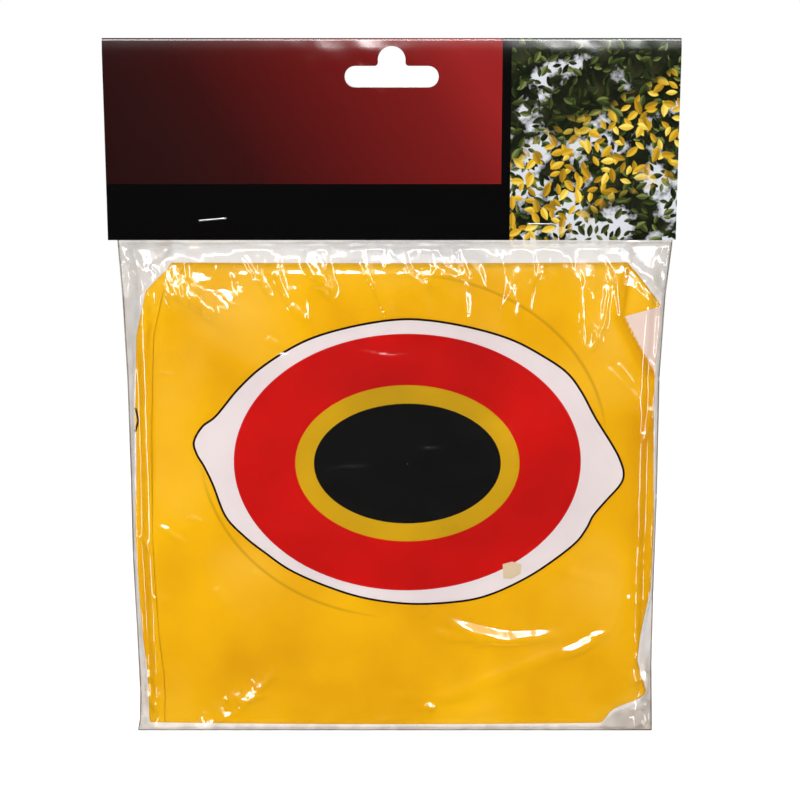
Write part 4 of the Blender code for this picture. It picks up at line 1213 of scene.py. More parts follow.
@dataclass(frozen=True)
class Relief:
    """Relief and tone of the folded vinyl: soft folds that every sheet of the front shares, and shade
    painted into its colour.
    """

    plan: PackPlan
    fade: float = 9.0 * MM
    swell: float = 0.85 * MM
    swell_cell: float = 46.0 * MM
    fine_share: float = 0.4
    fine_cell: Pair = (19.0 * MM, 23.0 * MM)
    notch: Pairs = (
        (-90.0, 107.0), (-96.6, 106.4), (-119.9, 103.1), (-135.8, 111.6), (-145.9, 118.0), (-150.0, 126.0))
    notch_depth: float = 1.3 * MM
    notch_fade: Pair = (-150.0 * MM, -144.0 * MM)
    front_y: Pair = (-4.5 * MM, -2.0 * MM)
    # Soft random patches of deeper and paler tone, which also stand in for the shading of the soft relief
    mottle: tuple[tuple[float, float, float, int], ...] = (
        (0.28, 34.0, 40.0, 29), (0.09, 11.0, 13.0, 37))
    # Painted shade: a soft band left of the notch's edge and a darker line along it, each as strength, place
    # and width
    fold_shade: tuple[float, float, float] = (0.55, -2.2 * MM, 2.4 * MM)
    fold_shade_line: tuple[float, float, float] = (0.9, 0.6 * MM, 0.8 * MM)
    # Paler tone towards the upper left: strength, the slant of its edge, where the edge fades in, and where
    # it fades out below
    pale_strength: float = 0.22
    pale_way: Pair = (0.59, 0.81)
    pale_edge: Pair = (-157.0 * MM, -148.0 * MM)
    pale_foot: Pair = (-176.0 * MM, -150.0 * MM)
    creases: tuple[Crease, ...] = lay_creases(
        (-106.0, -111.4, -108.8, -144.0, 0.5, 1.6), (-108.8, -140.0, -109.5, -205.0, 0.45, 1.4),
        (-103.6, -113.0, -105.8, -138.0, 0.3, 1.2), (-103.0, -112.0, -72.0, -136.0, 0.5, 3.2, Profile.STEP),
        (106.0, -124.0, 118.5, -152.0, 0.7, 2.4), (101.5, -121.0, 114.0, -158.0, 0.5, 2.2),
        (114.5, -177.0, 118.2, -160.0, 0.4, 1.6), (-66.0, -284.0, -28.0, -291.0, 0.7, 6.0),
        (96.0, -283.0, 108.0, -300.0, 0.8, 5.0), (-88.0, -306.0, -56.0, -284.0, 0.45, 3.0),
        (16.0, -301.0, 84.0, -274.0, 0.5, 4.5, Profile.STEP), (-50.0, -268.0, 10.0, -276.0, 0.35, 9.0),
        (60.0, -292.0, 96.0, -262.0, 0.35, 6.0), (-96.0, -150.0, -98.0, -232.0, 0.3, 5.0))
    # Bands of painted shade along the folds and towards the right edge, given as creases whose height is how
    # much darker
    shades: tuple[Crease, ...] = lay_creases(
        (-81.0, -281.0, -36.0, -281.0, 0.2, 9.0), (92.0, -278.0, 104.0, -303.0, 0.25, 9.0),
        (-109.0, -112.0, -110.5, -208.0, 0.75, 1.0), (-113.0, -130.0, -114.5, -290.0, 0.3, 2.2),
        (114.0, -158.0, 115.0, -275.0, 0.45, 8.0), (-66.0, -291.0, -20.0, -297.0, 0.12, 5.0),
        (60.0, -296.0, 98.0, -266.0, 0.12, 6.0))

    def tone(self, x: Array, y: Array, z: Array) -> Array:
        """Painted shade in the vinyl's colour: above zero where shade is painted along the folds,
        below zero where it is paler towards the upper left.

        Args:
            x: Places across, in metres.
            y: Depths, in metres.
            z: Heights, in metres.

        Returns:
            The tone at each place.
        """
        off = x - along_outline(self.notch, z / MM) * MM
        low = smoothstep(z, self.notch_fade[0] - 2.0 * MM, self.notch_fade[1])
        # Painted shade along the notch's edge, the bands of shade and the soft patches, less the paler tone
        strength, at, wide = self.fold_shade
        painted_shade = strength * np.exp(-((off - at) / wide) ** 2) * low
        strength, at, wide = self.fold_shade_line
        painted_shade = painted_shade + strength * np.exp(-np.abs(off - at) / wide) * low
        # Paler towards the upper left, in uneven patches
        pale_mask = smoothstep(x * self.pale_way[0] + z * self.pale_way[1], *self.pale_edge)
        pale_mask = pale_mask * smoothstep(z, *self.pale_foot)
        painted_shade = painted_shade - self.pale_strength * pale_mask * (0.6 + 0.4 * patchwork(x, z, 12.0, 16.0, 23))
        for shade in self.shades:
            painted_shade = painted_shade + shade.rise(x, z) / MM
        for share, wide, high, seed in self.mottle:
            painted_shade = painted_shade + share * patchwork(x, z, wide, high, seed)
        return painted_shade * (1.0 - smoothstep(y, *self.front_y))

    def forward(self, x: Array, z: Array) -> Array:
        """How far the front sheets stand forward of their plain run.

        Args:
            x: Places across, in metres.
            z: Heights, in metres.

        Returns:
            The rise at each place, never below zero.
        """
        p, (wide, high) = self.plan, self.fine_cell
        inside = smoothstep(z, p.foot_fold_z, p.foot_fold_z + self.fade)
        inside = inside * (1.0 - smoothstep(z, p.top_fold_z - self.fade, p.top_fold_z))
        broad = value_noise(x / self.swell_cell + 0.3, z / self.swell_cell, 3)
        rise = self.swell * (1.0 + broad) / 2.0
        rise = rise + self.fine_share * self.swell * (1.0 + value_noise(x / wide, z / high, 7)) / 2.0
        for crease in self.creases:
            rise = rise + crease.rise(x, z)
        return rise * inside

    def backward(self, x: Array, z: Array) -> Array:
        """How far the whole stack steps back at each place beyond the notch at the upper right."""
        off = x - along_outline(self.notch, z / MM) * MM
        return self.notch_depth * smoothstep(off, 0.0, self.notch_depth) * smoothstep(z, *self.notch_fade)


@dataclass(frozen=True)
class Fold:
    """One fold of the stack: its own run and the one behind it, its axis, and how square its bend is."""

    run: Run
    tail: Run
    z: float
    radius: float
    sign: float
    power: float

    def full(self, angle: float) -> float:
        """Reach of the squared bend at an angle round it, as a share of its radius."""
        return (abs(math.cos(angle)) ** self.power + math.sin(angle) ** self.power) ** (-1.0 / self.power)


@dataclass
class FoldedBall:
    """The deflated ball: six vinyl gores stacked and folded in thirds, with its eye and its valve."""

    plan: PackPlan
    outline: StackOutline = field(default_factory=StackOutline)
    hem: float = 8.0 * MM
    seam_gap: float = 0.3 * MM
    hem_most_share: float = 0.45
    hem_clearance: float = 0.5 * MM
    fullness: float = 1.5
    meridian: float = 634.0 * MM
    valve_drop: float = 15.0 * MM
    hanger_rise: float = 23.0 * MM
    tip_cut: float = 11.0 * MM
    tail_fade: float = 30.0 * MM
    fine: float = 1.35 * MM
    coarse: float = 4.0 * MM
    bend_steps: int = 6
    hem_steps: int = 3
    top_power: float = 2.4
    foot_power: float = 4.2
    patch_radius: float = 13.0 * MM
    patch_rings: int = 16
    patch_points: int = 72
    patches: tuple[tuple[str, float], ...] = (("pole_patch_valve", 4.8 * MM), ("pole_patch_hanger", 0.0))
    weld_radius: float = 11.2 * MM
    weld_width: float = 0.7 * MM
    weld_rise: float = 0.12 * MM
    moulded: tuple[str, ...] = ("hang_tab", "valve_flange", "valve_stem", "valve_plug", "valve_check_flap")

    def __post_init__(self) -> None:
        """Make the relief that the gores and the print share, and the two folds."""
        p = self.plan
        self.relief = Relief(p)
        self.top = Fold(Run.TOP_FOLD, Run.HEAD_TAIL, p.top_fold_z, p.top_radius, 1.0, self.top_power)
        self.foot = Fold(Run.FOOT_FOLD, Run.FOOT_TAIL, p.foot_fold_z, p.foot_radius, -1.0, self.foot_power)

    @property
    def valve_z(self) -> float:
        """Height of the valve's pole."""
        return self.plan.top_z - self.valve_drop

    @property
    def hanger_z(self) -> float:
        """Height of the hanger's pole."""
        return self.plan.foot_z + self.hanger_rise

    def build(self) -> None:
        """Build the gores, the patches and the print, and dress the valve."""
        # Yellow vinyl, with shade painted along the folds in #CE8C00 and a paler tone in #FBCB52
        vinyl = CalenderedVinyl("#F7BD06", "#E6A905", "calendered yellow vinyl sheet", painted_shade="#CE8C00",
                                pale="#FBCB52").make()
        for index in range(self.plan.gores):
            self.gore(index, vinyl)
        for name, bore in self.patches:
            self.patch(name, bore, vinyl)
        PrintedEye(self).build()
        moulded = CalenderedVinyl("#EDE9DF", "#E2DDD0", "moulded soft white vinyl", 0.5 * MM, 0.38).make()
        for name in self.moulded:
            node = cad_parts[name]
            node.data.materials.clear()
            node.data.materials.append(moulded)

    def bow(self, x: Array) -> Array:
        """How full the stack stands at a place across it: 1 in the middle, 0 at its edges."""
        return np.clip(1.0 - ((x - self.plan.centre_x) / self.plan.half) ** 2, 0.0, 1.0)

    def run_depth(self, run: Run, level: Array | float, x: Array) -> Array:
        """Depth of a level on a straight run, before the relief.

        Args:
            run: Which run.
            level: Number of the sheet, 0 for the outermost.
            x: Places across.

        Returns:
            The depth at each place.
        """
        p, full = self.plan, self.bow(x)
        front = p.front_y + (p.front_air + p.rear_air) / 2.0 * (1.0 - full)
        if run is Run.FRONT:
            return front + level * p.pitch
        if run is Run.HEAD_TAIL:
            return front + (p.front_layers - level) * p.pitch + p.front_air * full
        return front + (p.all_layers - level) * p.pitch + (p.front_air + p.rear_air) * full

    def bend(self, fold: Fold, level: Array | float, x: Array) -> tuple[Array, Array, Array]:
        """The bend of a fold at a level.

        Args:
            fold: Which fold.
            level: Number of the sheet, 0 for the outermost.
            x: Places across.

        Returns:
            Depth of its middle, its radius, and how far it reaches, level though the stack thins.
        """
        front, back = self.run_depth(Run.FRONT, level, x), self.run_depth(fold.tail, level, x)
        outermost = (self.run_depth(fold.tail, 0.0, x) - self.run_depth(Run.FRONT, 0.0, x)) / 2.0
        radius = (back - front) / 2.0
        return (front + back) / 2.0, radius, radius + np.maximum(0.0, fold.radius - outermost)

    def stations(self, step: float) -> list[tuple[Run, float]]:
        """Stations along a gore: hanger tip, top fold, front, foot fold, valve tip.

        Args:
            step: Distance between them on the front.

        Returns:
            Run and place of each station.
        """
        p = self.plan
        tails, bends = max(8, int(90.0 * MM / step / 2.0)), max(6, int(14.0 * MM / step))
        low, high = self.hanger_z + self.tip_cut, self.valve_z - self.tip_cut
        top, foot = p.top_fold_z, p.foot_fold_z
        rows = max(12, int((top - foot) / step))
        made = [(Run.HEAD_TAIL, low + (top - low) * i / tails) for i in range(tails)]
        made += [(Run.TOP_FOLD, math.pi * i / bends) for i in range(bends + 1)]
        made += [(Run.FRONT, top + (foot - top) * i / rows) for i in range(1, rows)]
        made += [(Run.FOOT_FOLD, math.pi * i / (2 * bends)) for i in range(2 * bends + 1)]
        made += [(Run.FOOT_TAIL, foot + (high - foot) * i / tails) for i in range(1, tails + 1)]
        return made

    def lens(self, run: Run, value: float) -> float:
        """Half width of a gore at a station, a full lens that ends at the poles.

        Args:
            run: The station's run.
            value: Its height, or its angle round a fold.

        Returns:
            The half width.
        """
        p = self.plan
        head_tail = p.top_fold_z - self.hanger_z
        widest = p.top_fold_z - (self.meridian / 2.0 - head_tail - math.pi * p.top_radius)
        head, foot = p.top_fold_z - widest, widest - p.foot_fold_z
        away = {
            Run.HEAD_TAIL: lambda: head + math.pi * p.top_radius + p.top_fold_z - value,
            Run.TOP_FOLD: lambda: head + (math.pi - value) * p.top_radius,
            Run.FRONT: lambda: abs(value - widest),
            Run.FOOT_FOLD: lambda: foot + value * p.foot_radius,
            Run.FOOT_TAIL: lambda: foot + math.pi * p.foot_radius + value - p.foot_fold_z,
        }[run]()
        lost = (1.0 - max(0.0, math.cos(math.pi * away / self.meridian))) ** self.fullness
        return p.half * (1.0 - lost)

    def hem_bend(self, x: float, level: float, next_level: float, side: float,
                 steps: int, grown: float) -> list[Pair]:
        """Points round the bend of a hem: pairs of place across and level.

        Args:
            x: Outermost place of the bend.
            level: Level that it leaves.
            next_level: Level that it reaches.
            side: 1 at the right, -1 at the left.
            steps: Steps round the bend.
            grown: How far outside the sheet's middle.

        Returns:
            The points.
        """
        pitch = self.plan.pitch
        radius = abs(next_level - level) * pitch / 2.0
        turn = 1.0 if next_level > level else -1.0
        middle, centre = (level + next_level) / 2.0, x - side * (radius + self.plan.vinyl / 2.0)
        size = radius + grown
        angles = [math.pi * (i / steps - 0.5) for i in range(steps + 1)]
        return [
            (centre + side * size * math.cos(a), middle + turn * size * math.sin(a) / pitch) for a in angles]

    def section(self, index: int, width: float, columns: int) -> Array:
        """Closed section of one gore: place across and level of each point.

        Args:
            index: Which gore, 0 for the front one.
            width: Half the stack's width there.
            columns: Points across the panel.

        Returns:
            One row for each point.
        """
        p = self.plan
        hem = min(self.hem, self.hem_most_share * width)
        inner = width - (p.gores - 1) * p.pitch / 2.0
        wraps, side = index == 0, 1.0 if index % 2 == 0 else -1.0
        following = p.gores - 1 if wraps else index - 1
        right_edge = width if index in (0, p.gores - 1) else inner
        bend_edge, free_edge = (right_edge, width) if side > 0.0 else (width, right_edge)
        bend_x, free_x = side * bend_edge, -side * (free_edge - hem - self.seam_gap / 2.0)
        hem_x = side * (bend_edge - hem + self.seam_gap / 2.0)
        half, turn = p.vinyl / 2.0 / p.pitch, 1.0 if following > index else -1.0
        reach = inner - hem - self.hem_clearance
        steps = self.bend_steps + 2 if wraps else self.bend_steps
        main = side * np.linspace(-1.0, 1.0, columns) * reach
        last = bend_edge - abs(following - index) * p.pitch / 2.0 - half * p.pitch
        more = np.linspace(reach, last, max(4, columns // 20))[1:-1]
        main = np.concatenate([main, side * more])
        low, high = index - turn * half, index + turn * half
        outer = np.column_stack([main, np.full(len(main), low)])
        under = np.column_stack([main[::-1], np.full(len(main), high)])
        bend_out, bend_in = (
            np.array(self.hem_bend(bend_x, index, following, side, steps, grown * p.vinyl / 2.0))
            for grown in (1.0, -1.0))
        bend_in = bend_in[::-1]
        along = np.linspace(0.0, 1.0, self.hem_steps + 1)[1:, None]
        hem_out = bend_out[-1] + (np.array([hem_x, following + turn * half]) - bend_out[-1]) * along
        hem_back = bend_in[0] + (np.array([hem_x, following - turn * half]) - bend_in[0]) * along[::-1]
        sheet = outer, bend_out, hem_out, hem_back, bend_in, under
        return np.vstack([[[free_x, low]], *sheet, [[free_x, high]]])

    def place(self, run: Run, value: float, rel: Array, level: Array, width: float) -> Array:
        """Points of a section set in the pack.

        Args:
            run: The station's run.
            value: Its height, or its angle round a fold.
            rel: Places across from the stack's middle.
            level: Level of each point.
            width: Half width that the section was made for.

        Returns:
            One row for each point.
        """
        p = self.plan
        fold = next((fold for fold in (self.top, self.foot) if fold.run is run), None)
        z_read = fold.z + fold.sign * fold.radius * math.sin(value) if fold else value
        left, right = self.outline.edges(np.array([z_read]))
        own = 1.0
        if run in (Run.HEAD_TAIL, Run.FOOT_TAIL):
            beyond = abs(value - (p.top_fold_z if run is Run.HEAD_TAIL else p.foot_fold_z))
            own = 1.0 - float(smoothstep(beyond, 0.0, self.tail_fade))
        centre = own * (left[0] + right[0]) / 2.0 + (1.0 - own) * p.centre_x
        half = own * (right[0] - left[0]) / 2.0 + (1.0 - own) * width
        x = centre + rel * half / width
        if fold:
            middle, radius, reach = self.bend(fold, level, x)
            full = fold.full(value)
            y = middle + fold.sign * radius * full * math.cos(value)
            z = fold.z + fold.sign * reach * full * math.sin(value)
        else:
            y, z = self.run_depth(run, level, x), np.full(len(x), value)
        if run in (Run.FRONT, Run.HEAD_TAIL):
            y = y - self.relief.forward(x, z)
        return np.column_stack([x, y + self.relief.backward(x, z), z])

    def gore(self, index: int, vinyl: Material) -> None:
        """Build one gore as it lies folded in the stack.

        Args:
            index: Which gore, 0 for the front one.
            vinyl: The finish.
        """
        step = self.fine if index == 0 else self.coarse
        columns = int(2.0 * self.plan.half / step)
        rings = []
        for run, value in self.stations(step):
            width = self.lens(run, value)
            section = self.section(index, width, columns)
            rings.append(self.place(run, value, section[:, 0], section[:, 1], width))
        count = len(rings[0])
        faces = [tuple(q[::-1]) for q in grid_quads(len(rings), count, closed=True).tolist()]
        last = (len(rings) - 1) * count
        for start in (0, last):
            for i in range(count // 2 - 1):
                quad = (start + i, start + i + 1, start + count - 2 - i, start + count - 1 - i)
                faces.append(quad if start == 0 else quad[::-1])
        if index % 2:
            faces = [f[::-1] for f in faces]
        name, points = f"gore_{index + 1}", np.vstack(rings)
        obj = make_piece(f"vinyl_{name}", points, faces, vinyl, 50.0)
        # Painted shade along the folds and the paler tone, kept on the gore's points for its material
        tone = obj.data.attributes.new("painted_shade_tone", "FLOAT", "POINT")
        tone.data.foreach_set("value", self.relief.tone(*points.T))
        settle(obj, Body.BALLOON, Slot.VINYL, name)

    def front_depth(self, x: Array, z: Array) -> Array:
        """Depth of the front gore's middle at a place on the pack's face.

        Args:
            x: Places across.
            z: Heights.

        Returns:
            The depth at each place.
        """
        depth = self.run_depth(Run.FRONT, 0.0, x) - self.relief.forward(x, z)
        for fold in (self.top, self.foot):
            middle, radius, reach = self.bend(fold, 0.0, x)
            past = fold.sign * (z - fold.z)
            share = np.clip(past / reach, 0.0, 1.0)
            bent = middle - radius * (1.0 - share ** fold.power) ** (1.0 / fold.power)
            depth = np.where(past > 0.0, bent, depth)
        return depth + self.relief.backward(x, z)

    def patch(self, name: str, bore: float, vinyl: Material) -> None:
        """Build a round patch at a pole, with a weld ring near its rim.

        Args:
            name: CAD node that it stands for.
            bore: Radius of the hole in it, 0 for none.
            vinyl: The finish.
        """
        low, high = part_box(name)
        centre_x, centre_z, count = (low.x + high.x) / 2.0, (low.z + high.z) / 2.0, self.patch_points
        first = max(bore, 1.0 * MM) + 0.2 * MM
        outer = np.linspace(first, self.patch_radius, self.patch_rings)
        radii = np.concatenate([[bore] if bore else [], outer])
        turns = np.arange(count) * math.tau / count
        weld = self.weld_rise * np.exp(-((radii - self.weld_radius) / self.weld_width) ** 2)
        sides = list(zip(radii, high.y + weld)) + [(radius, low.y) for radius in radii[::-1]]
        rings = [np.column_stack([
            centre_x + radius * np.cos(turns), np.full(count, y),
            centre_z + radius * np.sin(turns)]) for radius, y in sides]
        faces = [tuple(q) for q in grid_quads(len(rings), count, closed=True).tolist()]
        last = (len(rings) - 1) * count
        if bore:
            faces += [(last + i, last + (i + 1) % count, (i + 1) % count, i) for i in range(count)]
        else:
            faces += [tuple(range(count))[::-1], tuple(range(last, last + count))]
        settle(make_piece(f"vinyl_{name}", np.vstack(rings), faces, vinyl), Body.BALLOON, Slot.VINYL, name)


# Printed eye


@dataclass(frozen=True)
class Sliver:
    """A piece of print seen at the stack's edge or on the eye: its outline in millimetres and its ink."""

    name: str
    outline: Pairs
    ink: str
    slot: Slot


@dataclass
class PrintedEye:
    """The scare eye printed on the front gore, one thin layer of ink for each colour."""

    ball: FoldedBall
    x: float = 7.0 * MM
    depth: float = 191.6 * MM
    rise: float = 1.4 * MM
    pupil: Pair = (85.0 * MM, 56.0 * MM)
    ring_band: float = 8.5 * MM
    red_side: float = 28.0 * MM
    red_lid: float = 23.5 * MM
    white_corner: float = 19.5 * MM
    white_lid: float = 7.0 * MM
    line: float = 1.0 * MM
    steps: int = 336
    lift: float = 0.06 * MM
    ink: float = 0.06 * MM
    sharp: float = 60.0
    sliver_cell: float = 0.8 * MM
    pupil_hole: float = 0.004
    lid_shares: Pairs = (
        (1.008, -0.074), (0.985, 0.035), (0.947, 0.137), (0.869, 0.320), (0.804, 0.496),
        (0.735, 0.630), (0.631, 0.739), (0.481, 0.858), (0.299, 0.940), (0.107, 0.992),
        (-0.060, 0.998), (-0.276, 0.943), (-0.472, 0.849), (-0.654, 0.687), (-0.776, 0.525),
        (-0.883, 0.335), (-0.949, 0.257), (-0.990, 0.150), (-0.979, 0.060), (-0.944, -0.032),
        (-0.905, -0.160), (-0.850, -0.377), (-0.762, -0.521), (-0.671, -0.630), (-0.547, -0.760),
        (-0.364, -0.882), (-0.187, -0.962), (0.030, -1.000), (0.252, -0.982), (0.393, -0.933),
        (0.537, -0.835), (0.659, -0.722), (0.785, -0.574), (0.841, -0.461), (0.869, -0.377),
        (0.928, -0.271), (0.992, -0.160),
    )
    inks: tuple[tuple[str, CalenderedVinyl], ...] = (
        ("black", CalenderedVinyl("#1C0A0A", "#1C0A0A", "screen-printed black outline ink", roughness=0.45)),
        ("white", CalenderedVinyl("#EEE5E6", "#E0D5D7", "screen-printed white ink", roughness=0.45)),
        ("rub", CalenderedVinyl("#DFCDB0", "#D8C2A0", "rubbed screen ink", roughness=0.5)),
        ("pink", CalenderedVinyl("#F0DCD2", "#E8CFC4", "screen-printed pinkish white ink", roughness=0.45)),
        ("red", CalenderedVinyl("#D8110B", "#B60B08", "screen-printed red ink", roughness=0.42)),
        ("ring", CalenderedVinyl("#DCAC12", "#BE9611", "screen-printed ochre ink", roughness=0.45)),
        ("pupil", CalenderedVinyl("#121111", "#0F0E0E", "screen-printed black pupil ink", roughness=0.45)),
    )
    slivers: tuple[Sliver, ...] = (
        Sliver("next_eye_corner_line", (
            (-116.9, -161.5), (-115.9, -161.8), (-114.6, -167.3), (-116.4, -172.6), (-117.2, -172.4),
            (-115.6, -167.3)), "black", Slot.BLACK),
        Sliver("next_eye_corner", (
            (-117.0, -173.0), (-116.3, -172.8), (-116.6, -186.0), (-117.2, -203.0), (-117.9, -203.0),
            (-117.6, -186.0)), "white", Slot.WHITE),
        Sliver("rub_mark", ((50.9, -234.4), (55.2, -233.2), (59.6, -234.6), (59.2, -239.2), (54.9, -241.6),
                            (51.2, -241.2)), "rub", Slot.WHITE),
        Sliver("far_eye_field", ((104.6, -119.6), (121.0, -115.2), (118.9, -145.4), (117.6, -143.4),
                                 (112.6, -134.6), (107.8, -127.2)), "pink", Slot.WHITE),
    )

    @property
    def z(self) -> float:
        """Height of the eye's centre."""
        return self.ball.plan.fold_z - self.depth + self.rise

    def build(self) -> None:
        """Build the five colours of the print and the slivers."""
        ring = (self.pupil[0] + 2.0 * self.ring_band, self.pupil[1] + 2.0 * self.ring_band)
        red = (ring[0] + 2.0 * self.red_side, ring[1] + 2.0 * self.red_lid)
        lid = self.lid_loop((red[0] + 2.0 * self.white_corner, red[1] + 2.0 * self.white_lid))
        edge = self.inset(lid, self.line)
        reds, rings, pupils = (self.ellipse(size, lid) for size in (red, ring, self.pupil))
        inks = dict(self.inks)
        for node, outer, inner, bands, ink, slot in (
                ("eye_outline_ink", lid, edge, 2, "black", Slot.BLACK),
                ("eye_white_ink", edge, reds, 10, "white", Slot.WHITE),
                ("eye_red_ink", reds, rings, 22, "red", Slot.RED),
                ("eye_ring_ink", rings, pupils, 7, "ring", Slot.RING),
                ("eye_pupil_ink", pupils, pupils * self.pupil_hole, 28, "pupil", Slot.BLACK)):
            obj = self.layer(node, outer, inner, bands, inks[ink].make())
            settle(obj, Body.BALLOON, slot, node)
        for sliver in self.slivers:
            settle(self.sliver(sliver, inks[sliver.ink].make()), Body.BALLOON, sliver.slot)

    def sliver(self, sliver: Sliver, ink: Material) -> Object:
        """Lay a sliver of a hidden gore's print, or a rub, where it shows.

        Args:
            sliver: What it is.
            ink: The finish.

        Returns:
            The new piece.
        """
        corners, size = np.array(sliver.outline) * MM, self.sliver_cell
        low, high = corners.min(axis=0), corners.max(axis=0)
        loop = [tuple(corner) for corner in corners]
        edges = [(i, (i + 1) % len(loop)) for i in range(len(loop))]
        grid = [(x, z) for x in np.arange(low[0] + size / 2.0, high[0], size)
                for z in np.arange(low[1] + size / 2.0, high[1], size)]
        points = [Vector(spot) for spot in loop + [spot for spot in grid if HeaderCard.inside(spot, loop)]]
        flat, _, faces, *_ = delaunay_2d_cdt(points, edges, [], 1, 1e-7)
        spots = np.array([list(v) for v in flat]) - np.array((self.x, self.z))
        count = len(spots)
        base = self.lift + (self.ink if sliver.ink == "rub" else 0.0)
        both = np.vstack([self.on_gore(spots, base + self.ink), self.on_gore(spots, base)])
        sides = [side for face in faces for side in zip(face, face[1:] + face[:1])]
        paired = set(sides)
        shell = [tuple(face) for face in faces] + [tuple(count + i for i in face[::-1]) for face in faces]
        shell += [(b, a, count + a, count + b) for a, b in sides if (b, a) not in paired]
        return make_piece(f"print_{sliver.name}", both, shell, ink, self.sharp)

    def lid_loop(self, whole: Pair) -> Array:
        """Closed smooth outline of the lids, about the eye's centre.

        Args:
            whole: The eye's width and height.

        Returns:
            One row for each point.
        """
        shares = np.array(self.lid_shares)
        count = len(shares)
        at = np.arange(self.steps) * count / self.steps
        base = at.astype(int)
        t = (at - base)[:, None]
        p0, p1, p2, p3 = (shares[(base + k) % count] for k in (-1, 0, 1, 2))
        spot = 2.0 * p1 + (p2 - p0) * t + (2.0 * p0 - 5.0 * p1 + 4.0 * p2 - p3) * t ** 2
        spot = (spot + (3.0 * p1 - p0 - 3.0 * p2 + p3) * t ** 3) / 2.0
        return spot * np.array(whole) / 2.0

    @staticmethod
    def inset(loop: Array, depth: float) -> Array:
        """Move a loop inward along its own normals.

        Args:
            loop: One row for each point.
            depth: How far.

        Returns:
            The moved loop.
        """
        along = np.roll(loop, -1, axis=0) - np.roll(loop, 1, axis=0)
        inward = np.column_stack([-along[:, 1], along[:, 0]])
        inward /= np.linalg.norm(inward, axis=1)[:, None]
        return loop + inward * depth

    @staticmethod
    def ellipse(size: Pair, rays: Array) -> Array:
        """Ellipse of a width and height, read in the direction of each ray."""
        way = rays / np.linalg.norm(rays, axis=1)[:, None]
        return way * (1.0 / np.sqrt(((2.0 * way / np.array(size)) ** 2).sum(axis=1)))[:, None]

    def layer(self, node: str, outer: Array, inner: Array, bands: int, ink: Material) -> Object:
        """Build one colour between two loops, following the front gore.

        Args:
            node: CAD node that it stands for.
            outer: Outermost loop.
            inner: Innermost loop.
            bands: Bands of faces between them.
            ink: The finish.

        Returns:
            The new piece.
        """
        shares, count = np.linspace(0.0, 1.0, bands + 1), self.steps
        rings = [self.on_gore(outer + (inner - outer) * s, self.lift + self.ink) for s in shares]
        rings += [self.on_gore(outer + (inner - outer) * s, self.lift) for s in shares[::-1]]
        faces = grid_quads(len(rings), count, closed=True).tolist()
        last = (len(rings) - 1) * count
        faces += [(last + i, last + (i + 1) % count, (i + 1) % count, i) for i in range(count)]
        return make_piece(f"print_{node}", np.vstack(rings), faces, ink, self.sharp)

    def on_gore(self, loop: Array, lift: float) -> Array:
        """Lay a loop about the eye's centre on the front gore, lifted above the vinyl's face."""
        x, z = self.x + loop[:, 0], self.z + loop[:, 1]
        return np.column_stack([x, self.ball.front_depth(x, z) - self.ball.plan.vinyl / 2.0 - lift, z])


# Film bag


@dataclass(frozen=True)
class Wrinkles:
    """One pattern of crumpled film: its seed, facet in millimetres, slope, squeeze along Z and lean."""

    seed: int
    facet: float
    slope: float
    squeeze: float = 1.0
    lean: float = 0.0

    def rise(self, x: Array, z: Array, start: int) -> Array:
        """Height of the pattern at each place, with the wall's own seed to start from."""
        return crumple(x + self.lean * z, z * self.squeeze, self.facet * MM, self.slope, start + self.seed)


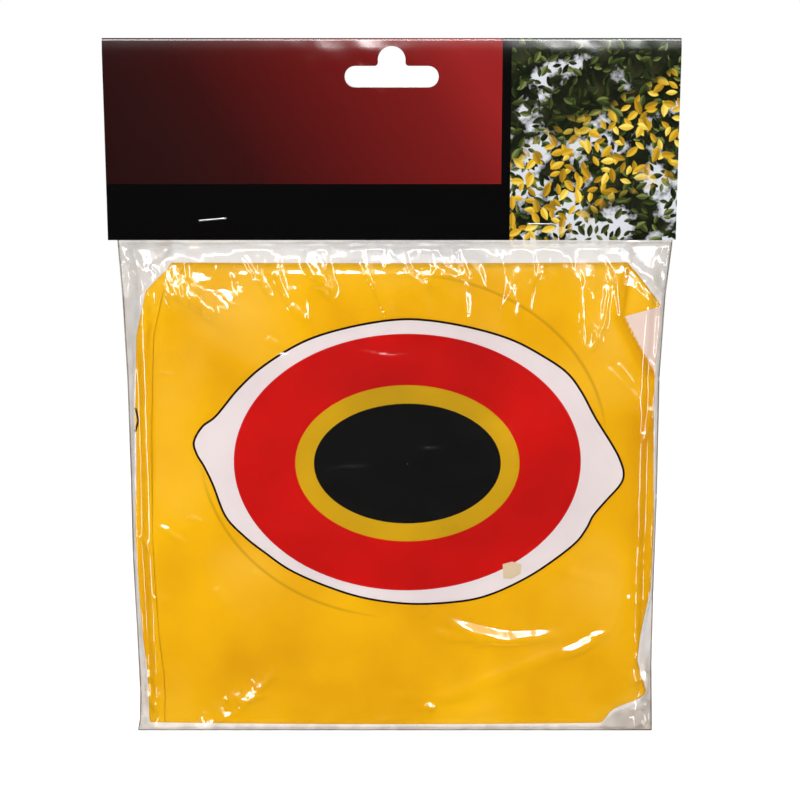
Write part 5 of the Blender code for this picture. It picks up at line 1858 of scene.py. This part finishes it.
@dataclass
class FilmBag:
    """The clear film bag: two walls, welded at the sides and the foot."""

    plan: PackPlan
    ball: FoldedBall
    mouth_depth: float = 25.0 * MM
    ease: float = 0.35 * MM
    neck_y: float = 0.3 * MM
    fine: float = 0.7 * MM
    coarse: float = 0.95 * MM
    head_height: float = 62.0 * MM
    hinge: float = 3.0 * MM
    columns: int = 300
    back_columns: int = 110
    bead_rows: int = 90
    bead_overlap: float = 12.0 * MM
    bead_width: float = 0.7 * MM
    bead_depth: float = 0.45 * MM
    crease_gain: float = 1.35
    room: Pair = (7.6 * MM, 10.0 * MM)
    room_depth: float = 34.0 * MM
    steep: float = 1.9
    gentle: float = 1.0
    top_fall: float = 0.85
    cliff: float = 9.0
    beside_fall: float = 2.4
    tail_fall: float = 0.3
    valve_falls: tuple[float, float, float] = (0.62, 1.0, 0.5)
    probes: int = 9
    tail_probes: int = 24
    top_zone: Pair = (-130.0 * MM, -100.0 * MM)
    pleat_zone: Pair = (-132.0 * MM, -104.0 * MM)
    flank_zone: Pair = (98.0 * MM, 116.0 * MM)
    end_zone: Pair = (-300.0 * MM, -250.0 * MM)
    corner_zone: Pair = (-300.0 * MM, -270.0 * MM)
    foot_zone: Pair = (-316.0 * MM, -296.0 * MM)
    bend: float = 1.5 * MM
    sway: float = 3.0 * MM
    ripple: float = 5.0 * MM
    ripple_lean: float = 0.275
    ripple_zone: Pair = (-106.0 * MM, -98.0 * MM)
    # Where grey is painted in as shade on the crumpled film: near the card and at the lower right corner
    grey_head: Pair = (-97.0 * MM, -90.0 * MM)
    grey_corner: tuple[Pair, Pair] = ((92.0 * MM, 106.0 * MM), (-296.0 * MM, -280.0 * MM))
    room_power: float = 1.7
    room_fade: Pair = (10.0 * MM, 6.0 * MM)
    rim: Pair = (1.8 * MM, 0.7)
    closing: Pair = (1.6 * MM, 0.8)
    lifts: tuple[float, ...] = (0.0, 3.0 * MM, 6.0 * MM)
    pop: float = 4.4 * MM
    swung: tuple[tuple[float, float, float], ...] = ((10.1, 14.7, -114.8), (21.3, 22.8, -106.4))
    left: Pairs = (
        (-21.0, -122.8), (-87.0, -122.8), (-110.0, -121.4), (-150.0, -120.2), (-195.6, -120.0),
        (-232.2, -120.2), (-269.9, -119.2), (-300.0, -118.6), (-313.5, -119.2), (-320.4, -120.9))
    right: Pairs = (
        (-21.0, 125.8), (-87.0, 125.6), (-110.7, 123.2), (-147.3, 121.6), (-204.7, 121.9),
        (-250.7, 121.5), (-285.0, 121.6), (-320.1, 122.8))
    creases: tuple[Crease, ...] = lay_creases(
        (-116.6, -86.3, -105.7, -108.0, 1.1, 2.2), (-97.5, -87.0, -82.0, -97.5, 1.0, 3.0, Profile.PILLOW),
        (-97.0, -95.5, -92.6, -115.0, 0.8, 1.4), (-93.0, -93.5, -89.0, -113.0, 0.6, 1.2),
        (-101.0, -103.0, -73.0, -121.3, 2.2, 6.5, Profile.PILLOW, 1.5),
        (-88.0, -107.0, -78.0, -118.0, 0.8, 1.6), (-67.6, -89.0, -51.6, -112.6, 0.9, 1.5),
        (-60.0, -90.0, -56.0, -108.0, 0.7, 1.3), (-51.4, -97.0, -46.7, -112.2, 0.6, 1.2),
        (-54.0, -99.7, 4.0, -99.7, 0.5, 1.1), (-39.5, -90.0, -24.0, -112.0, 1.9, 5.5, Profile.PILLOW),
        (-30.0, -90.0, -27.0, -108.0, 0.9, 1.7), (-45.0, -112.5, -38.4, -120.5, 0.7, 1.5),
        (-56.5, -128.5, -50.5, -132.5, 0.6, 2.2), (3.0, -92.5, 14.6, -106.0, 0.8, 1.4),
        (14.6, -106.0, 22.0, -93.0, 0.6, 1.3), (-1.0, -99.7, 38.0, -99.7, 0.5, 1.0),
        (21.0, -96.0, 34.0, -105.0, 0.7, 1.6), (56.0, -97.5, 45.0, -127.5, 0.65, 1.2),
        (67.5, -96.5, 60.3, -106.0, 0.6, 1.2), (83.3, -96.5, 85.6, -132.0, 0.75, 1.2),
        (97.4, -98.0, 94.2, -124.5, 1.3, 1.7), (94.4, -122.5, 89.0, -135.0, 1.1, 1.6),
        (98.2, -99.5, 100.5, -120.0, 0.8, 1.3), (93.0, -92.0, 99.0, -104.0, 0.9, 1.6),
        (103.0, -92.5, 119.0, -104.0, 1.2, 2.0), (106.0, -104.0, 121.0, -117.0, 1.0, 1.8),
        (95.9, -141.5, 111.7, -157.7, 0.8, 1.6), (101.0, -140.0, 109.0, -150.0, 0.7, 1.4),
        (114.2, -177.0, 118.4, -162.0, 0.7, 1.2), (-115.5, -221.0, -110.7, -228.6, 0.7, 1.3),
        (-107.0, -215.5, -94.0, -225.2, 0.75, 1.5), (-93.4, -211.3, -86.0, -215.1, 0.6, 1.3),
        (-81.4, -245.1, -76.0, -254.6, 0.8, 2.2), (-64.0, -237.6, -60.8, -241.0, 0.6, 1.5),
        (-109.8, -249.6, -103.0, -252.6, 0.6, 1.6), (-92.0, -315.0, -72.1, -306.1, 0.9, 1.6),
        (-72.6, -306.6, -54.0, -286.2, 0.9, 1.7), (-72.0, -301.0, -57.0, -297.0, 0.8, 1.4),
        (20.0, -259.0, 82.0, -266.8, 1.9, 4.6, Profile.PILLOW, -6.5), (19.0, -266.4, 42.0, -271.6, 0.9, 2.4),
        (37.0, -272.6, 58.0, -270.8, 0.8, 2.0), (76.5, -278.6, 97.5, -267.5, 1.6, 4.2, Profile.PILLOW, -1.5),
        (91.5, -268.8, 99.5, -267.0, 0.6, 1.1), (98.0, -270.2, 108.6, -246.6, 0.9, 2.2),
        (73.5, -235.0, 100.0, -244.0, 0.8, 2.6), (16.0, -301.9, 81.5, -275.4, 1.1, 4.0),
        (16.0, -301.5, 19.9, -304.0, 0.8, 1.3), (13.0, -260.0, 18.7, -254.0, 0.5, 1.1))
    crushed: tuple[Crease, ...] = lay_creases(
        (-92.0, -315.0, -54.0, -286.0, 1.0, 4.5), (-101.0, -103.0, -75.0, -120.0, 0.8, 6.0),
        (94.0, -99.0, 90.0, -136.0, 0.7, 5.0), (-10.0, -94.0, 44.0, -101.0, 0.9, 6.0),
        (-58.0, -97.0, -38.0, -122.0, 0.7, 4.0), (103.0, -96.0, 119.0, -116.0, 0.8, 6.0),
        (46.0, -262.0, 66.0, -268.0, 0.4, 5.0), (12.0, -302.0, 22.0, -303.0, 0.8, 3.0),
        (-116.0, -88.0, -108.0, -112.0, 0.8, 6.0))

    def build(self) -> None:
        """Build the two walls and the bead along their weld."""
        film = ClearFilm().make()
        rows = self.rows()
        for side, columns in ((Side.FRONT, self.columns), (Side.BACK, self.back_columns)):
            self.wall(side, rows, columns, film)
        self.bead()

    def edges(self, z: Array) -> tuple[Array, Array]:
        """Left and right weld of the bag at each height."""
        return along_outline(self.left, z / MM) * MM, along_outline(self.right, z / MM) * MM

    def bead(self) -> None:
        """Sweep the melted bead along the side welds and the foot."""
        half = self.bead_depth / 2.0
        low, high = self.plan.pouch[0].z + half, self.plan.card_foot + self.bead_overlap
        down = np.linspace(high, low, self.bead_rows)
        left, right = self.edges(down)
        path = [(x + half, 0.0, z) for x, z in zip(left, down)]
        path += [(x - half, 0.0, z) for x, z in zip(right[::-1], down[::-1])]
        bead = sweep_path("film_weld_bead", path, wire_sweep(MeltedFilm().make()),
                          {"Width": self.bead_width, "Depth": self.bead_depth})
        self.hang(bead)
        report(bead, "header to pouch")

    def hang(self, obj: Object) -> None:
        """Bake a piece of the bag's place into its mesh; nothing bends it below the card's foot, where the
        pouch swings.
        """
        at = self.plan.card_foot
        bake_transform(obj)

    def rows(self) -> Array:
        """Heights of the rows: sparse in the card, fine at its foot and below.

        Returns:
            The heights, from the mouth down.
        """
        p = self.plan
        foot, top = p.pouch[0].z, p.card_foot
        neck = np.linspace(p.fold_z - self.mouth_depth, top + 1.0 * MM, 14)
        head = np.arange(top + 0.5 * MM, top - self.head_height, -self.fine)
        main = np.arange(head[-1] - self.coarse, foot + 1.5 * MM, -self.coarse)
        return np.concatenate([neck, head, main, np.linspace(foot + 1.2 * MM, foot, 4)])

    def cover(self, x: Array, z: Array, side: Side) -> Array:
        """How far a wall has to stand out so that what it holds can slide up in it."""
        return np.maximum.reduce([self.tent(x, z - lift, side) for lift in self.lifts])

    def tent(self, x: Array, z: Array, side: Side) -> Array:
        """How far the film has to stand out to pass over what it holds, as a tent.

        Args:
            x: Places across.
            z: Heights.
            side: Which wall.

        Returns:
            The height of the tent at each place.
        """
        left, right = self.ball.outline.edges(z)
        held = np.clip(x, left, right)
        if side is Side.FRONT:
            height = self.front_tent(held, z)
        else:
            height = self.over_valve(x, z, self.back_tent(x, held, z))
        return height - np.abs(x - held) * self.beside_fall

    def front_tent(self, held: Array, z: Array) -> Array:
        """The tent over the stack's front.

        Args:
            held: Nearest place of the stack across.
            z: Heights.

        Returns:
            Its height.
        """
        p, half, margin = self.plan, self.plan.vinyl / 2.0, 0.3 * MM
        near = np.clip(z, p.foot_z + 0.2 * MM, p.top_z - 0.2 * MM)
        height = half - self.ball.front_depth(held, near) - np.abs(z - near) * self.steep
        tall = np.zeros_like(height)
        for probe in np.linspace(0.0, 1.0, self.probes):
            for at, outward, fall in (
                (p.top_z - margin - probe * p.top_radius, 1.0, self.top_fall),
                (p.foot_z + margin + probe * p.foot_radius, -1.0, self.steep)):
                past = outward * (z - at)
                spot = half - self.ball.front_depth(held, np.full(z.shape, at))
                drop = np.maximum(0.0, past) * fall + np.maximum(0.0, -past) * self.cliff
                tall = np.maximum(tall, spot - drop)
        return np.maximum(height, tall)

    def back_tent(self, x: Array, held: Array, z: Array) -> Array:
        """The tent over the stack's back: the valve's tail, the hanger's tail and the two folds.

        Args:
            x: Places across.
            held: Nearest place of the stack across.
            z: Heights.

        Returns:
            Its height.
        """
        p, ball = self.plan, self.ball
        level = -1.0 - p.vinyl / 2.0 / p.pitch
        tail_z = np.linspace(p.foot_fold_z, ball.valve_z - ball.tip_cut, self.tail_probes)
        tail = np.interp(z, tail_z, [ball.lens(Run.FOOT_TAIL, at) for at in tail_z])
        beside = np.maximum(0.0, np.abs(x - p.centre_x) - tail)
        off_tail, off_back = (
            np.abs(z - np.clip(z, p.foot_fold_z, top)) for top in (ball.valve_z, p.top_fold_z))
        height = ball.run_depth(Run.FOOT_TAIL, level, held) - off_tail * self.steep - beside * self.tail_fall
        height = np.maximum(height, ball.run_depth(Run.HEAD_TAIL, level, held) - off_back * self.steep)
        for fold in (ball.top, ball.foot):
            middle, radius, reach = ball.bend(fold, level, held)
            for angle in np.linspace(0.0, math.pi / 2.0, self.probes):
                full = fold.full(angle)
                spot_z = fold.z + fold.sign * reach * full * math.sin(angle)
                fall = np.where(z > spot_z, self.gentle, self.steep)
                spot = middle + radius * full * math.cos(angle)
                height = np.maximum(height, spot - np.abs(z - spot_z) * fall)
        return height

    def over_valve(self, x: Array, z: Array, height: Array) -> Array:
        """Raise the back wall's tent over the valve, popped out and with its plug swung.

        Args:
            x: Places across.
            z: Heights.
            height: The tent over the stack.

        Returns:
            The tent over both.
        """
        popped = (
            ("pole_patch_valve", 0.0), ("valve_flange", 0.0),
            ("valve_stem", self.pop), ("valve_plug", self.pop))
        places = [(*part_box(node), pop) for node, pop in popped]
        places.append((Vector(self.swung[0]) * MM, Vector(self.swung[1]) * MM, 0.0))
        for low, high, pop in places:
            gaps = (np.maximum(low.x - x, x - high.x), z - high.z, low.z - z)
            across, above, below = (np.maximum(0.0, gap) * fall for gap, fall in zip(gaps, self.valve_falls))
            height = np.maximum(height, high.y + pop + 0.1 * MM - across - above - below)
        return height

    def crinkle(self, x: Array, z: Array, side: Side) -> Array:
        """Crinkles of the film: fine where it is gathered at the top, the sides and the foot.

        Args:
            x: Places across.
            z: Heights.
            side: Which wall.

        Returns:
            Their height at each place.
        """
        seed = 11 if side is Side.FRONT else 31
        top = smoothstep(z, *self.top_zone)
        flank = smoothstep(np.abs(x - self.plan.centre_x), *self.flank_zone)
        foot = 1.0 - smoothstep(z, *self.foot_zone)
        corner = flank * (1.0 - smoothstep(z, *self.corner_zone))
        ends = flank * (0.25 + 0.75 * np.maximum(top, 1.0 - smoothstep(z, *self.end_zone)))
        patchy = smoothstep(patchwork(x, z, 34.0, 26.0, seed + 7), -0.5, 0.5)
        pleat = smoothstep(patchwork(x, z, 27.0, 200.0, seed + 9), -0.4, 0.4)
        pleat = smoothstep(z, *self.pleat_zone) * (0.3 + 0.7 * pleat)
        bent_x = x + self.bend * patchwork(x, z, 21.0, 17.0, seed + 5)
        bent_z = z + self.bend * patchwork(x, z, 19.0, 23.0, seed + 6)
        sway = bent_x + self.sway * patchwork(x, z, 50.0, 30.0, seed + 8)
        layers = [
            (Wrinkles(0, 27.0, 0.035), bent_x, bent_z, 1.0),
            (Wrinkles(10, 8.0, 0.42, 0.55), bent_x, bent_z, top * (0.25 + 0.75 * patchy)),
            (Wrinkles(20, 4.2, 0.34, 0.7), bent_x, bent_z, top * patchy),
            (Wrinkles(70, 6.0, 0.55, 0.17), sway, z, pleat),
            (Wrinkles(80, 9.0, 0.45, 0.2, 0.25), sway, z, pleat),
            (Wrinkles(30, 6.5, 0.42), bent_x, bent_z, ends * (0.4 + 0.6 * patchy)),
            (Wrinkles(40, 5.5, 0.8), bent_x, bent_z, corner),
            (Wrinkles(50, 6.0, 0.25), bent_x, bent_z, foot),
            (Wrinkles(60, 9.0, 0.10), bent_x, bent_z, patchy * 0.8),
        ]
        if side is Side.FRONT:
            crushed = np.clip(sum(place.rise(x, z) for place in self.crushed) / MM, 0.0, 1.0)
            layers.append((Wrinkles(90, 3.8, 0.8, 0.5, 0.4), bent_x, bent_z, crushed))
        return sum(wrinkles.rise(across, up, seed) * share for wrinkles, across, up, share in layers)

    def painted_crumple_shade(self, x: Array, z: Array) -> Array:
        """How much grey is painted in as shade at each place, from 0 to 1, where the film is crumpled.

        Args:
            x: Places across.
            z: Heights.

        Returns:
            The share at each place.
        """
        foot = self.plan.foot_z
        left, right = self.ball.outline.edges(z)
        beside = smoothstep(np.maximum(left - x, x - right), -2.0 * MM, 1.0 * MM)
        low = 1.0 - smoothstep(z, foot - 2.5 * MM, foot + 2.0 * MM)
        head = smoothstep(z, *self.grey_head)
        across, up = self.grey_corner
        corner = smoothstep(x, *across) * (1.0 - smoothstep(z, *up)) * beside
        fine, broad = (0.5 + 0.5 * patchwork(x, z, wide, high, seed)
                       for wide, high, seed in ((3.5, 6.0, 51), (12.0, 20.0, 52)))
        share = 0.34 * beside + 0.55 * low + 0.14 * head * broad + 0.55 * corner
        return np.clip(share * (0.35 + 0.9 * fine), 0.0, 1.0)

    def stand(self, x: Array, z: Array, side: Side) -> Array:
        """How far one wall stands out from the pack's middle plane.

        Args:
            x: Places across.
            z: Heights.
            side: Which wall.

        Returns:
            The distance at each place.
        """
        front = side is Side.FRONT
        edge_left, edge_right = self.edges(z)
        inward = np.minimum(x - edge_left, edge_right - x)
        below_card, above_foot = self.plan.card_foot - z, z - self.plan.pouch[0].z
        leant, seed = x + self.ripple_lean * z, 61 if front else 62
        ripple = smoothstep(patchwork(leant, z, 5.5, 30.0, seed), -0.6, 0.6)
        tent = self.cover(x, z - self.ripple * ripple * smoothstep(z, *self.ripple_zone), side)
        share = np.clip(below_card / self.room_depth, 0.0, 1.0)
        room = self.room[0 if front else 1] * (1.0 - (1.0 - share) ** self.room_power)
        beside, below = self.room_fade
        room = room * smoothstep(inward, 0.0, beside) * smoothstep(above_foot, 0.0, below)
        body = np.maximum(tent, room) + self.ease
        for crease in self.creases if front else ():
            body = body + self.crease_gain * crease.rise(x, z)
        body = body + self.crinkle(x, z, side)
        opens = smoothstep(below_card, -0.2 * MM, self.hinge)
        rim = np.clip(inward / self.rim[0], 0.0, 1.0) ** self.rim[1]
        closes = np.clip(above_foot / self.closing[0], 0.0, 1.0) ** self.closing[1]
        return self.neck_y * rim + np.maximum(0.0, body - self.neck_y) * opens * rim * closes

    def wall(self, side: Side, rows: Array, columns: int, film: Material) -> None:
        """Build one wall, from the bag's mouth in the card to its foot.

        Args:
            side: Which wall.
            rows: Heights of its rows.
            columns: Points across.
            film: The finish.
        """
        left, right = (edge[:, None] for edge in self.edges(rows))
        x = left + (right - left) * np.linspace(0.0, 1.0, columns)[None, :]
        z = np.repeat(rows[:, None], columns, axis=1)
        points = np.stack([x, side.value * self.stand(x, z, side), z], axis=-1).reshape(-1, 3)
        quads = grid_quads(len(rows), columns)
        faces = quads[:, ::-1] if side is Side.FRONT else quads
        obj = make_piece(f"film_{side.name.lower()}_wall", points, faces.tolist(), film, None)
        # Grey painted in as shade where the film is crumpled, kept on the wall's points for its material
        painted_crumple_shade = obj.data.attributes.new("painted_crumple_shade", "FLOAT", "POINT")
        painted_crumple_shade.data.foreach_set("value", self.painted_crumple_shade(x, z).ravel())
        self.hang(obj)
        if side is Side.FRONT:
            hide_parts("bag_pouch", "bag_neck")
        report(obj, "header to pouch")


def main() -> None:
    """Build the studio and every sub-assembly."""
    logging.basicConfig(level=logging.INFO, format="%(message)s")
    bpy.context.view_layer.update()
    plan = PackPlan.read()
    Studio().build()
    ball = FoldedBall(plan)
    for part in (HeaderCard(plan), ball, FilmBag(plan, ball)):
        part.build()
        log.info("%s built", type(part).__name__)
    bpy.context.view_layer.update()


if __name__ == "__main__":
    main()
